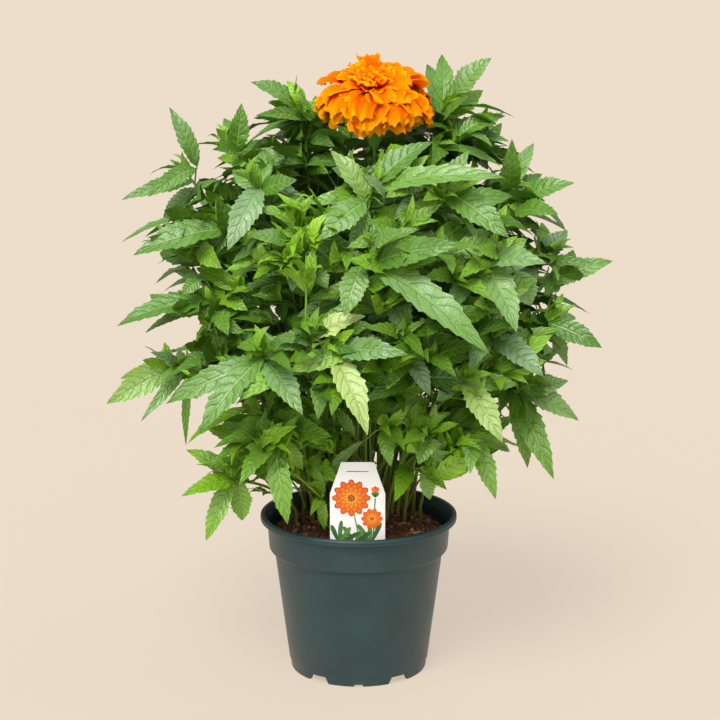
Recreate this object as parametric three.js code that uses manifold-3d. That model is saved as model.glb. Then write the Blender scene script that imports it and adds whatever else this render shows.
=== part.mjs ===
// A french marigold in its nursery pot: pot, soil, plant label, one double bloom on its own stem,
// and leafy stems that each stand in a hole of their own in the soil.
// Millimetres. +Z is up, the origin is the middle of the pot's foot, and the seen side faces -Y.
import * as THREE from 'three';
import { mergeVertices } from 'three/addons/utils/BufferGeometryUtils.js';
import Module from 'manifold-3d';

const wasm = await Module();
wasm.setup();

// Driving dimensions
const RIM_RADIUS = 60;          // a 12 cm nursery pot
const POT_HEIGHT = 97.7;
const WALL = 1.5;
const FOOT_RADIUS = 41.65;
const FOOT_RING = 2.9;          // width of the ring that the pot stands on
const FLOOR_BOTTOM = 3.6;
const FLOOR_TOP = 5.6;
const BODY_START = 6.2;         // height where the tapering body begins
const BODY_START_RADIUS = 42.8;
const BODY_END = 73.2;          // height where the body turns out into the band
const BODY_END_RADIUS = 51.3;
const BAND_START = 77.2;
const BAND_START_RADIUS = 54.7;
const BAND_END_RADIUS = 55.9;
const LIP_HEIGHT = 3.8;
const LIP_INNER_RADIUS = 57.2;
const POT_SIDES = 28;
const NOTCH_ANGLES = [36, 144, 216, 324];   // degrees either way from the front
const NOTCH_WIDTH = 15.8;
const NOTCH_HEIGHT = 4.4;
const NOTCH_SLOPE = 2.5;        // how much each end of a notch leans in
const NOTCH_REACH = 9;          // how far a notch goes through the foot's ring
const NICK = { width: 5.6, reach: 6, height: 1.5 };  // the drain nick at the front of the foot
const DRAIN_RADIUS = 5;
const MIDDLE_DRAIN_RADIUS = 6;
const DRAIN_CIRCLE = 27;        // how far the outer drain holes are from the axis
const DRAIN_SIDES = 8;
const GAP = 0.35;               // air between pieces that touch on the real plant

const SOIL_EDGE = 86.5;         // height of the soil at the wall
const SOIL_MOUND = 9;           // how much higher it is in the middle
const SOIL_RINGS = [18, 38];
const SOIL_RADIUS = 50;         // where the mound has come down to the edge
const SOIL_CLEARANCE = 0.95;    // between the soil's corners and the flat sides of the wall
const SOIL_SIDES = 16;

const LABEL_TOP_PX = 462;       // pixel down of the label's top edge
const LABEL_DEPTH = -44.5;      // where the label stands, in front of the stems
const LABEL_THICKNESS = 0.8;
const LABEL_CENTRE = -0.6;
const LABEL_TOP_WIDTH = 19.4;
const LABEL_WIDTH = 32.6;
const LABEL_SHOULDER_DROP = 19.2;
const LABEL_STAKE_END = 58;
const LABEL_STAKE_WIDTH = 9;
const LABEL_POINT_WIDTH = 3;
const LABEL_TAPER = 4;          // height over which the stake draws in to its point

const STEM_FOOT = 70;           // how deep in the pot the stems begin
const STEM_COLLAR = 99;         // height where they leave their upright stretch
const STEM_RADIUS = 1.9;
const STEM_TOP_RADIUS = 1.1;
const SHOOT_RADIUS = 1.1;
const STEM_SIDES = 5;
const STEM_STEPS = 4;
const SHOOT_STEPS = 3;
const SHOOT_SIDES = 3;
const HOLE_CLEARANCE = 0.45;    // air round a stem in its hole
const LEAF_SPACING = 2.6;       // from one leaf's root to the next along its shoot

const BLADE_RISE = 0.75;        // half of a blade's thickness at its rib
const BLADE_FOLD = 0.28;        // how far the two halves fold up, for each mm of width
const BLADE_ARCH = 0.12;        // how far a blade arches over its chord, for each mm of length
const BLADE_FACE = { up: 0.62, out: 0.75 };    // how much a blade faces the sky, and outward
const TEETH_FROM = 0.08;        // share of the blade before its first saw tooth
const TEETH_SPAN = 0.84;        // share of the blade that has saw teeth
const TOOTH_TIP = 0.86;         // where a tooth's tip is in its share of the edge
const TOOTH_OUT = 1.14;         // width at a tooth's tip, as a share of the plain outline
const TOOTH_IN = 0.8;           // width at the notch between two teeth
const ROOT_HALF = 0.42;         // half of a leaf's root, which lies inside its shoot
const PETIOLE_HALF = 0.7;
const SHORT_PETIOLE = 10;       // a blade that starts nearer to its joint has no stalk of its own
const LONG_LEAF = 74;           // longer blades have three saw teeth a side, shorter ones two

const CELL = 3;                 // size of the cells that tell which space is taken
const BLOOM_ROOM = { across: 38, high: 30 };   // half sizes of the space kept for the bloom
const LABEL_ROOM = { across: 19, deep: 3.5, sight: 0.25 };  // and for the label and the view of it
const INNER_ROOM = 52;          // radius of the soil's space inside the pot
const KEEP_OFF = 3;             // how far leaves stay from the pot and the soil

const CORE_RADIUS = 10;
const CORE_STRETCH = 1.2;       // the core is higher than it is wide
const SEAT = { radius: 5.4, height: 6, below: 11.6 };   // the bloom's underside over its calyx
const CALYX_HEIGHT = 15;
const CALYX_PROFILE = [[1.9, 0], [3.6, 3.5], [5.6, 8], [6.4, 13.5], [5.5, 15]];
const CALYX_SIDES = 9;

// The eye of the photograph: where it stands, how far it looks down, and its focal length in pixels
const EYE_DISTANCE = 1200;
const EYE_HEIGHT = 461.1;
const EYE_DOWN = 0.22;
const EYE_FOCAL = 2043;
const EYE_AXIS_PX = 358.6;
const EYE_HORIZON_PX = 360;

// The point that the photograph shows at a pixel, at a given depth
function seen([across, down, depth]) {
  const turn = new THREE.Vector3(
    (across - EYE_AXIS_PX) / EYE_FOCAL,
    Math.cos(EYE_DOWN) - ((down - EYE_HORIZON_PX) / EYE_FOCAL) * Math.sin(EYE_DOWN),
    -Math.sin(EYE_DOWN) - ((down - EYE_HORIZON_PX) / EYE_FOCAL) * Math.cos(EYE_DOWN),
  );
  const reach = (depth + EYE_DISTANCE) / turn.y;
  return new THREE.Vector3(turn.x * reach, depth, EYE_HEIGHT + turn.z * reach);
}

// Leafy stems of the seen side. foot: where the stem leaves the soil, in mm.
// joint: where a spray of leaves sits, as pixel across, pixel down and depth in mm. The first joint
// ends the stem, and the others end side shoots that leave it at the share "from" of its length.
// A leaf is its tip's pixel across, pixel down and depth, its width in mm, and, where the blade
// starts away from the joint, the pixel where it starts. bright marks young yellow-green sprays.
const SEEN_STEMS = [
  { foot: [-24, 22], sprays: [
    { joint: [303, 112, 0], leaves: [
      [250.5, 82, -5, 13], [292, 83, 15, 9], [255, 116, -20, 8]] },
    { joint: [236, 152, 0], from: 0.55, leaves: [
      [241.5, 103, -2, 11], [224, 118, 10, 10], [212, 150, -5, 9], [264, 140, -8, 9]] }] },
  { foot: [-34, 14], sprays: [
    { joint: [190, 178, -10], leaves: [
      [169, 107, -10, 10, 197, 166], [121, 200, -30, 9], [148, 197, -40, 10, 194, 168],
      [163, 218, -10, 10]] },
    { joint: [226, 230, -30], from: 0.6, leaves: [
      [133, 255.6, -45, 17], [205, 262, -50, 10], [216, 196, -45, 11]] }] },
  { foot: [-25, 10], sprays: [
    { joint: [260, 188, -60], leaves: [
      [227.4, 251, -85, 15], [297.5, 180, -70, 11], [232, 170, -55, 10], [262, 150, -50, 10]] },
    { joint: [300, 258, -82], from: 0.6, bright: true, leaves: [
      [327.5, 289, -95, 9, 314, 270.5], [261, 258, -95, 9, 294, 266], [247.5, 235.7, -85, 9, 290, 243],
      [292, 292, -98, 9], [318, 236, -92, 8]] }] },
  { foot: [-41, 8], sprays: [
    { joint: [212, 302, -30], leaves: [
      [116.7, 326.5, -40, 16], [144.8, 333.4, -30, 8], [181, 295, -35, 8, 200, 280],
      [228, 336, -55, 11]] },
    { joint: [172, 370, -15], from: 0.5, leaves: [
      [106.4, 404, -25, 14], [120.3, 378.5, -5, 9], [150, 352, -10, 8], [140.5, 422, -30, 7],
      [186, 446, -22, 5]] }] },
  { foot: [-28, -4], sprays: [
    { joint: [264, 357, -85], leaves: [
      [199, 434, -110, 15], [302.9, 415, -115, 15], [165.4, 404, -95, 14], [292, 372, -105, 9]] },
    { joint: [275, 445, -60], from: 0.45, leaves: [
      [287.7, 524.5, -72, 13], [239.5, 485, -75, 12], [303, 470, -62, 9]] },
    { joint: [322, 498, -36], from: 0.08, leaves: [
      [324.6, 530, -50, 6], [310, 516, -45, 5]] }] },
  { foot: [-38, -4], sprays: [
    { joint: [232, 480, -35], leaves: [
      [205.9, 541, -45, 11], [181, 496.6, -40, 11], [242, 520.7, -30, 12], [186, 449.6, -30, 10],
      [215, 455, -45, 9]] }] },
  { foot: [-8, 4], sprays: [
    { joint: [373, 188, -82], leaves: [
      [433, 141.6, -75, 14], [506, 178, -92, 13], [319.5, 240.6, -105, 15, 365, 202],
      [361, 175, -104, 10, 383.8, 203.6], [350.7, 252.7, -100, 9, 367.7, 210],
      [330, 150, -75, 12]] }] },
  { foot: [16, 8], sprays: [
    { joint: [444, 190, -76], leaves: [
      [509, 238, -100, 16], [395, 217, -88, 8, 419.5, 197], [470, 150, -70, 10]] },
    { joint: [440, 252, -62], from: 0.7, leaves: [
      [424, 292, -80, 11], [462, 290, -75, 10]] }] },
  { foot: [4, -10], sprays: [
    { joint: [369, 263, -98], leaves: [
      [490, 355, -125, 18], [463, 244, -110, 15], [344.5, 316.4, -115, 14, 361, 266],
      [402.5, 230.4, -106, 10, 374, 248]] },
    { joint: [388, 290, -84], from: 0.72, leaves: [
      [409.6, 339.6, -100, 14], [372, 330, -92, 10]] },
    { joint: [410, 352, -82], from: 0.55, leaves: [
      [386.4, 390.5, -104, 12], [430, 396, -96, 10]] },
    { joint: [386, 430, -58], from: 0.3, bright: true, leaves: [
      [324, 490, -36, 6.5, 364, 441], [391, 467, -72, 9], [405, 452, -70, 8]] }] },
  { foot: [-14, -8], sprays: [
    { joint: [330, 350, -98], leaves: [
      [367.8, 435.8, -125, 15], [408.8, 354.8, -120, 13], [397, 378, -112, 15],
      [318, 420, -104, 12]] },
    { joint: [309, 341, -96], from: 0.8, leaves: [
      [366, 316, -125, 12], [278, 337, -115, 9], [300, 391, -106, 8]] }] },
  { foot: [20, 24], sprays: [
    { joint: [442, 120, -5], leaves: [
      [441.8, 54, -5, 12], [427, 64, 10, 10], [492, 57.7, -10, 13, 454, 96], [470, 96, -20, 9]] },
    { joint: [474, 136, 5], from: 0.7, leaves: [
      [504, 112, 0, 8], [509.6, 141.6, -15, 7], [488, 170, -25, 10]] }] },
  { foot: [34, 18], sprays: [
    { joint: [508, 193, -10], leaves: [
      [512, 138.6, -20, 12], [575, 183, -25, 13, 518.6, 201], [534, 143, 20, 10],
      [558.5, 214.5, -30, 13, 514, 214], [498, 232, -45, 11]] },
    { joint: [541, 262, 0], from: 0.55, leaves: [
      [567.7, 230, 10, 12], [591.8, 263, -5, 7], [613, 261, -10, 13, 543, 284],
      [528, 300, -30, 11]] }] },
  { foot: [24, 2], sprays: [
    { joint: [482, 262, -80], leaves: [
      [516.8, 332.7, -105, 17], [547, 264, -90, 15], [530.7, 306, -88, 14, 516, 272],
      [456, 290, -98, 9]] },
    { joint: [491, 338, -66], from: 0.55, leaves: [
      [543.6, 377, -85, 15], [470, 372, -86, 11], [516, 352, -60, 9]] }] },
  { foot: [38, 8], sprays: [
    { joint: [546, 322, -20], leaves: [
      [602, 347.9, -30, 13], [567, 366, -12, 10], [576, 318, -10, 10]] },
    { joint: [522, 392, -25], from: 0.5, leaves: [
      [568.6, 380.9, -25, 11], [578.8, 420.7, -35, 13], [553.9, 479.5, -50, 14],
      [527.5, 468.4, -45, 12], [500, 412, -45, 9]] }] },
  { foot: [28, -6], sprays: [
    { joint: [464, 381, -80], leaves: [
      [502.9, 443.4, -105, 14], [518.6, 385, -90, 10], [436, 402, -92, 9]] },
    { joint: [474, 436, -50], from: 0.5, leaves: [
      [495.9, 499.6, -65, 11], [470, 474, -62, 11], [510, 452, -50, 9]] }] },
  { foot: [17, -9], sprays: [
    { joint: [428, 437, -66], leaves: [
      [418.5, 465, -80, 11], [402, 446, -82, 9], [444, 462, -76, 9]] },
    { joint: [425, 474, -35], from: 0.45, leaves: [
      [447, 490, -42, 6], [430, 500, -46, 9]] }] },
];

// Leafy stems of the far side, which the photograph doesn't show: a fan of stems whose joints
// lie on the same rounded crown as the seen ones
const FAR_STEMS = 7;
const FAR_START = 12;             // degrees from the crown's side to the first of them
const FAR_CROWN = { centre: 232, back: 10, across: 88, deep: 60, high: 92 };
const FAR_FEET = { across: 34, deep: 19, back: 24 };   // the half oval on which they leave the soil
const FAR_HEIGHTS = [-36, -4, 28, 62];     // degrees over the crown's middle, lowest first
const FAR_STAGGER = 10;                    // every other stem's joints are this many degrees higher
const FAR_SWAYS = [-7, 9];                 // degrees that its joints stand to either side
const FAR_LEAVING = [0.26, 0.48, 0.7];     // shares of the stem's length where its shoots leave it
const FAR_SPRAY = { first: 0, count: 6, length: 62, width: 14 };

// Leaves that the first sprays of each seen stem have besides those that the photograph shows
const INNER_SPRAYS = 2;
const INNER_SPRAY = { first: 3, count: 2, length: 52, width: 12, rootShift: 2 };

// The bloom: its middle as pixel across, pixel down and depth in mm, where its stem leaves the soil,
// and the side shoots that fill the crown's top round it
const BLOOM_CENTRE = [374.5, 96, -18];
const BLOOM_FOOT = [4, 16];
const BLOOM_STEM_PULL = { foot: 80, top: 70 };    // how far the stem runs upright at its two ends
const BLOOM_SHOOTS = [{ from: 0.62, joint: [-26, 12, 316] }, { from: 0.7, joint: [12, 36, 322] }];
const BLOOM_SPRAY = { first: 0, count: 6, length: 52, width: 12 };

const UP = new THREE.Vector3(0, 0, 1);
const TO_EYE = new THREE.Vector3(0, -1, 0);
const vec = (x, y, z) => new THREE.Vector3(x, y, z);
const along = (from, to, share) => from.clone().lerp(to, share);
const offset = (point, way, distance) => point.clone().addScaledVector(way, distance);
const rad = (degrees) => degrees * Math.PI / 180;

// A seeded row of numbers from 0 to 1
function draws(seed) {
  let state = (seed * 7919 + 12345) % 4294967296;
  return () => {
    state = (state * 1664525 + 1013904223) % 4294967296;
    return state / 4294967296;
  };
}

// A closed three.js geometry as a solid that can be joined and cut, and back again
function solidOf(geometry) {
  const bare = geometry.clone();
  bare.deleteAttribute('normal');
  bare.deleteAttribute('uv');
  const merged = mergeVertices(bare, 1e-4);
  return new wasm.Manifold(new wasm.Mesh({
    numProp: 3,
    vertProperties: new Float32Array(merged.attributes.position.array),
    triVerts: new Uint32Array(merged.index.array),
  }));
}

function geometryOf(solid) {
  const mesh = solid.getMesh();
  const geometry = new THREE.BufferGeometry();
  const places = new Float32Array(mesh.vertProperties);
  geometry.setAttribute('position', new THREE.BufferAttribute(places, 3));
  geometry.setIndex(new THREE.BufferAttribute(new Uint32Array(mesh.triVerts), 1));
  return geometry;
}

function geometryFrom(points, faces) {
  const geometry = new THREE.BufferGeometry();
  const places = points.flatMap((point) => point.toArray());
  geometry.setAttribute('position', new THREE.Float32BufferAttribute(places, 3));
  geometry.setIndex(faces.flat());
  return geometry;
}

const joined = (solids) => solids.reduce((whole, solid) => whole.add(solid));
const cut = (solid, tools) => tools.reduce((left, tool) => left.subtract(tool), solid);

function named(name, solid, colour, roughness) {
  const material = new THREE.MeshStandardMaterial({ color: colour, roughness, metalness: 0 });
  const mesh = new THREE.Mesh(geometryOf(solid), material);
  mesh.name = name;
  return mesh;
}

const placed = (geometry, x, y, z) => geometry.translate(x, y, z);

// Pot
function potProfile() {
  const lipBase = POT_HEIGHT - LIP_HEIGHT;
  const outside = [
    [0, FLOOR_BOTTOM], [FOOT_RADIUS - FOOT_RING, FLOOR_BOTTOM], [FOOT_RADIUS - FOOT_RING, 0],
    [FOOT_RADIUS - 0.7, 0], [FOOT_RADIUS, 0.8], [FOOT_RADIUS + 0.5, BODY_START - 0.6],
    [BODY_START_RADIUS, BODY_START], [BODY_END_RADIUS, BODY_END],
    [BODY_END_RADIUS + 1.6, BODY_END + 1.7], [BAND_START_RADIUS, BAND_START],
    [BAND_END_RADIUS, lipBase], [RIM_RADIUS, lipBase + 0.5],
    [RIM_RADIUS, POT_HEIGHT - 1], [RIM_RADIUS - 1, POT_HEIGHT], [LIP_INNER_RADIUS, POT_HEIGHT],
  ];
  const inside = [
    [BAND_END_RADIUS - WALL, lipBase - 1.5], [BAND_START_RADIUS - WALL, BAND_START + 1],
    [BODY_END_RADIUS - WALL, BODY_END + 0.8], [BODY_START_RADIUS - WALL - 0.6, FLOOR_TOP],
    [0, FLOOR_TOP],
  ];
  return [...outside, ...inside].map(([radius, height]) => new THREE.Vector2(radius, height));
}

function lathe(profile, sides) {
  return new THREE.LatheGeometry(profile, sides, Math.PI / sides).rotateX(Math.PI / 2);
}

// A notch in the foot: a bar across it, narrower at its top
function notch(degrees) {
  const shape = new THREE.Shape();
  shape.moveTo(-NOTCH_WIDTH / 2, -1);
  shape.lineTo(NOTCH_WIDTH / 2, -1);
  shape.lineTo(NOTCH_WIDTH / 2 - NOTCH_SLOPE, NOTCH_HEIGHT);
  shape.lineTo(-NOTCH_WIDTH / 2 + NOTCH_SLOPE, NOTCH_HEIGHT);
  const bar = new THREE.ExtrudeGeometry(shape, { depth: NOTCH_REACH, bevelEnabled: false });
  bar.rotateX(Math.PI / 2).translate(0, -FOOT_RADIUS + NOTCH_REACH * 2 / 3, 0);
  return solidOf(bar.rotateZ(rad(degrees)));
}

function drain(degrees, fromAxis, radius) {
  const drill = new THREE.CylinderGeometry(radius, radius, FLOOR_TOP + 4, DRAIN_SIDES);
  drill.rotateX(Math.PI / 2);
  return solidOf(placed(drill, 0, -fromAxis, FLOOR_TOP / 2).rotateZ(rad(degrees)));
}

function potSolid() {
  const shell = solidOf(lathe(potProfile(), POT_SIDES));
  const nick = new THREE.BoxGeometry(NICK.width, NICK.reach, 2 * NICK.height);
  const tools = [drain(0, 0, MIDDLE_DRAIN_RADIUS), solidOf(placed(nick, 0, -FOOT_RADIUS, 0))];
  for (const degrees of NOTCH_ANGLES) {
    tools.push(notch(degrees), drain(degrees, DRAIN_CIRCLE, DRAIN_RADIUS));
  }
  return cut(shell, tools);
}

// Soil: a plug inside the pot with a crumbly, mounded top
const BODY_SLOPE = (BODY_END_RADIUS - BODY_START_RADIUS) / (BODY_END - BODY_START);
const bodyInside = (height) => BODY_START_RADIUS - WALL + (height - BODY_START) * BODY_SLOPE;
const bandInside = BAND_START_RADIUS - WALL;

function soilTop(x, y) {
  const share = Math.min(1, Math.hypot(x, y) / SOIL_RADIUS);
  const lumps = 0.9 * Math.sin(x * 0.31 + 1.3) * Math.cos(y * 0.27);
  const crumbs = lumps + 0.6 * Math.sin(x * 0.9 - y * 0.7);
  return SOIL_EDGE + SOIL_MOUND * (1 - share * share) + crumbs * (1 - share ** 6);
}

function soilSolid(tools) {
  const points = [];
  const faces = [];
  const ring = (radius, heightAt) => {
    const start = points.length;
    for (let i = 0; i < SOIL_SIDES; i += 1) {
      const turn = 2 * Math.PI * (i + 0.5) / SOIL_SIDES;
      const [x, y] = [radius * Math.cos(turn), radius * Math.sin(turn)];
      points.push(vec(x, y, heightAt(x, y)));
    }
    return start;
  };
  const fan = (middle, start, upward) => {
    for (let i = 0; i < SOIL_SIDES; i += 1) {
      const [a, b] = [start + i, start + (i + 1) % SOIL_SIDES];
      faces.push(upward ? [middle, a, b] : [middle, b, a]);
    }
  };
  const band = (inner, outer) => {
    for (let i = 0; i < SOIL_SIDES; i += 1) {
      const next = (i + 1) % SOIL_SIDES;
      faces.push([inner + i, outer + i, outer + next], [inner + i, outer + next, inner + next]);
    }
  };
  const rings = SOIL_RINGS.map((radius) => ring(radius, soilTop));
  rings.push(ring(bandInside - SOIL_CLEARANCE, () => SOIL_EDGE - 1));
  rings.push(ring(bandInside - SOIL_CLEARANCE, () => BAND_START + 1.2));
  rings.push(ring(bodyInside(BODY_END) - SOIL_CLEARANCE, () => BODY_END));
  rings.push(ring(bodyInside(FLOOR_TOP) - 2 * SOIL_CLEARANCE, () => FLOOR_TOP + GAP));
  points.push(vec(0, 0, soilTop(0, 0)), vec(0, 0, FLOOR_TOP + GAP));
  fan(points.length - 2, rings[0], true);
  for (let i = 0; i + 1 < rings.length; i += 1) {
    band(rings[i], rings[i + 1]);
  }
  fan(points.length - 1, rings.at(-1), false);
  return cut(solidOf(geometryFrom(points, faces)), tools);
}

// Plant label: a plastic stake with sloping shoulders. Its printed face is left plain here.
const labelTop = seen([EYE_AXIS_PX, LABEL_TOP_PX, LABEL_DEPTH]).z;

function labelGeometry(grow) {
  const shoulder = labelTop - LABEL_SHOULDER_DROP;
  const side = [
    [LABEL_TOP_WIDTH / 2, labelTop], [LABEL_WIDTH / 2, shoulder], [LABEL_WIDTH / 2, SOIL_EDGE - LABEL_TAPER],
    [LABEL_STAKE_WIDTH / 2, LABEL_STAKE_END + LABEL_TAPER], [LABEL_POINT_WIDTH / 2, LABEL_STAKE_END],
  ];
  const right = side.map(([x, z]) => new THREE.Vector2(x + grow, z));
  const left = side.reverse().map(([x, z]) => new THREE.Vector2(-x - grow, z));
  const thickness = LABEL_THICKNESS + 2 * grow;
  const shape = new THREE.Shape([...right, ...left]);
  const plate = new THREE.ExtrudeGeometry(shape, { depth: thickness, bevelEnabled: false });
  return plate.rotateX(Math.PI / 2).translate(LABEL_CENTRE, LABEL_DEPTH + thickness / 2, -grow);
}

// A tube through rings of points, closed by a flat foot and a blunt tip
function tubeThrough(rings, foot, tip) {
  const sides = rings[0].length;
  const points = [...rings.flat(), foot, tip];
  const last = (rings.length - 1) * sides;
  const faces = [];
  for (let k = 0; k < sides; k += 1) {
    const next = (k + 1) % sides;
    faces.push([points.length - 2, next, k], [points.length - 1, last + k, last + next]);
    for (let i = 0; i < last; i += sides) {
      faces.push([i + k, i + next, i + sides + next], [i + k, i + sides + next, i + sides + k]);
    }
  }
  return solidOf(geometryFrom(points, faces));
}

// A ring of points round a centre, square to a direction
function ringRound(centre, tangent, radius, sides) {
  const side = vec(tangent.z + 0.001, 0, -tangent.x).normalize();
  const front = tangent.clone().cross(side);
  return Array.from({ length: sides }, (_, k) => {
    const turn = 2 * Math.PI * k / sides;
    return offset(centre, side, Math.cos(turn) * radius)
      .addScaledVector(front, Math.sin(turn) * radius);
  });
}

function curveRings(curve, steps, sides, thick, thin) {
  return Array.from({ length: steps + 1 }, (_, i) => {
    const share = i / steps;
    const radius = thick + (thin - thick) * share;
    return ringRound(curve.getPoint(share), curve.getTangent(share), radius, sides);
  });
}

// A stem stands upright in the soil, and bends outward above it
function stemTube({ foot, stem }) {
  const bottom = vec(foot[0], foot[1], STEM_FOOT);
  const rings = [
    ringRound(bottom, UP, STEM_RADIUS, STEM_SIDES),
    ...curveRings(stem, STEM_STEPS, STEM_SIDES, STEM_RADIUS, STEM_TOP_RADIUS),
  ];
  return tubeThrough(rings, bottom, offset(stem.getPoint(1), stem.getTangent(1), 2));
}

function shootTube(shoot) {
  const rings = curveRings(shoot, SHOOT_STEPS, SHOOT_SIDES, SHOOT_RADIUS * 1.15, SHOOT_RADIUS);
  return tubeThrough(rings, shoot.getPoint(0), offset(shoot.getPoint(1), shoot.getTangent(1), 2));
}

// The hole that a stem stands in
function stemHole([x, y]) {
  const radius = STEM_RADIUS + HOLE_CLEARANCE;
  const [bottom, top] = [STEM_FOOT - GAP, STEM_COLLAR + 5].map((z) => vec(x, y, z));
  const rings = [bottom, top].map((centre) => ringRound(centre, UP, radius, STEM_SIDES));
  return tubeThrough(rings, bottom, top);
}

const outwardAt = (point) => vec(point.x, point.y, 0).setLength(0.75).add(vec(0, 0, 0.65)).normalize();

function stemCurve(foot, joint) {
  const start = vec(foot[0], foot[1], STEM_COLLAR);
  const span = joint.clone().sub(start);
  const first = vec(start.x + 0.12 * span.x, start.y + 0.12 * span.y, start.z + 0.4 * span.z);
  const second = vec(start.x + 0.45 * span.x, start.y + 0.45 * span.y, start.z + 0.78 * span.z);
  return new THREE.CubicBezierCurve3(start, first, second, joint);
}

// A side shoot leaves its stem at a share of the stem's length and arches over to its joint
function shootCurve(stem, share, joint) {
  const start = stem.getPoint(share);
  const reach = start.distanceTo(joint);
  const first = offset(start, stem.getTangent(share), 0.3 * reach);
  const second = along(start, joint, 0.66).addScaledVector(UP, 0.09 * reach);
  return new THREE.CubicBezierCurve3(start, first, second, joint);
}

// Where the leaf of a given number sits on the last stretch of the shoot that carries it
function rootOn(shoot, steps, number) {
  const [before, end] = [shoot.getPoint(1 - 1 / steps), shoot.getPoint(1)];
  return along(end, before, number * LEAF_SPACING / end.distanceTo(before));
}

// Leaves. A leaf lies on a curve from its blade's start to its tip, with a face direction.
const PROFILE_PEAK = 0.3114;
const bladeHalf = (leaf, t) => Math.max(0, leaf.half * (t ** 0.75) * ((1 - t) ** 0.95) / PROFILE_PEAK);

function makeLeaf(root, start, tip, width, roll, lookout) {
  const chord = tip.clone().sub(start);
  const length = chord.length();
  const way = chord.clone().divideScalar(length);
  const face = UP.clone().multiplyScalar(BLADE_FACE.up).addScaledVector(lookout, BLADE_FACE.out);
  face.addScaledVector(way, -face.dot(way)).normalize().applyAxisAngle(way, roll);
  const curve = new THREE.CubicBezierCurve3(
    start,
    along(start, tip, 0.33).addScaledVector(face, BLADE_ARCH * length * 1.3),
    along(start, tip, 0.7).addScaledVector(face, BLADE_ARCH * length),
    tip,
  );
  return { root, start, tip, half: width / 2, length, face, curve };
}

// The sideways and upward directions of a leaf where it runs along a tangent
function frameOf(centre, tangent, face) {
  const side = tangent.clone().cross(face).normalize();
  return { centre, side, normal: side.clone().cross(tangent).normalize() };
}

function leafFrame(leaf, t) {
  const tangent = leaf.curve.getTangent(Math.min(0.999, Math.max(0.001, t)));
  return frameOf(leaf.curve.getPoint(t), tangent, leaf.face);
}

// A closed blade with saw teeth: both faces share their edge and are split into triangles alike
function bladeSolid(leaf, teeth) {
  const points = [];
  const faces = [];
  const rib = (centre, normal, rise) => {
    points.push(offset(centre, normal, rise), offset(centre, normal, -rise));
    return points.length - 2;
  };
  const edge = (t, sideways, widen) => {
    const { centre, side, normal } = leafFrame(leaf, t);
    const half = Math.max(PETIOLE_HALF, bladeHalf(leaf, t) * widen);
    points.push(offset(centre, side, sideways * half).addScaledVector(normal, half * BLADE_FOLD));
    return points.length - 1;
  };
  const addFace = (sideways, a, b, c, upper) => {
    faces.push((sideways > 0) === upper ? [a, b, c] : [a, c, b]);
  };
  const petiole = leaf.root.distanceTo(leaf.start) > SHORT_PETIOLE;
  const base = petiole
    ? frameOf(leaf.root, leaf.start.clone().sub(leaf.root).normalize(), leaf.face)
    : frameOf(leaf.root, leaf.curve.getTangent(0.02), leaf.face);
  const ribs = [rib(base.centre, base.normal, ROOT_HALF)];
  const lines = { 1: [], [-1]: [] };
  for (const sideways of [1, -1]) {
    points.push(offset(base.centre, base.side, sideways * ROOT_HALF));
    lines[sideways].push(points.length - 1);
  }
  if (petiole) {
    const blade = leafFrame(leaf, 0.02);
    const normal = blade.normal.clone().add(base.normal).normalize();
    const side = blade.side.clone().add(base.side).normalize();
    ribs.push(rib(blade.centre, normal, BLADE_RISE));
    for (const sideways of [1, -1]) {
      points.push(offset(blade.centre, side, sideways * PETIOLE_HALF * 1.2));
      lines[sideways].push(points.length - 1);
    }
  }
  const toothShare = TEETH_SPAN / teeth;
  for (let tooth = 1; tooth < teeth; tooth += 1) {
    const { centre, normal } = leafFrame(leaf, TEETH_FROM + tooth * toothShare);
    ribs.push(rib(centre, normal, BLADE_RISE));
  }
  points.push(leaf.tip.clone());
  const tip = points.length - 1;
  for (const sideways of [1, -1]) {
    const line = lines[sideways];
    for (let tooth = 0; tooth < teeth; tooth += 1) {
      line.push(edge(TEETH_FROM + (tooth + TOOTH_TIP) * toothShare, sideways, TOOTH_OUT));
      if (tooth + 1 < teeth) {
        line.push(edge(TEETH_FROM + (tooth + 1) * toothShare, sideways, TOOTH_IN));
      }
    }
    for (const upper of [true, false]) {
      const ribPoint = (i) => ribs[i] + (upper ? 0 : 1);
      const low = petiole ? 1 : 0;
      if (petiole) {
        addFace(sideways, ribPoint(0), line[0], line[1], upper);
        addFace(sideways, ribPoint(0), line[1], ribPoint(1), upper);
      }
      for (let tooth = 0; tooth < teeth; tooth += 1) {
        const [before, toothTip, after] = line.slice(low + 2 * tooth);
        const [here, next] = [ribPoint(low + tooth), tooth + 1 < teeth ? ribPoint(low + tooth + 1) : tip];
        addFace(sideways, here, before, toothTip, upper);
        addFace(sideways, here, toothTip, next, upper);
        if (tooth + 1 < teeth) {
          addFace(sideways, next, toothTip, after, upper);
        }
      }
    }
  }
  faces.push([ribs[0], lines[-1][0], ribs[0] + 1], [ribs[0], ribs[0] + 1, lines[1][0]]);
  return solidOf(geometryFrom(points, faces));
}

// Space: each cell that a stem or a leaf comes near is marked with the stem that owns it
const taken = new Map();
const cellOf = (x, y, z) => (
  ((Math.floor(x / CELL) + 200) * 400 + Math.floor(y / CELL) + 200) * 400 + Math.floor(z / CELL));

function mark(point, owner) {
  for (let i = -1; i <= 1; i += 1) {
    for (let j = -1; j <= 1; j += 1) {
      for (let k = -1; k <= 1; k += 1) {
        const cell = cellOf(point.x + i * CELL, point.y + j * CELL, point.z + k * CELL);
        if (!taken.has(cell)) {
          taken.set(cell, owner);
        }
      }
    }
  }
}

function markCurve(curve, owner) {
  const steps = Math.ceil(curve.getLength() / 2);
  for (let i = 0; i <= steps; i += 1) {
    mark(curve.getPoint(i / steps), owner);
  }
}

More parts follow.
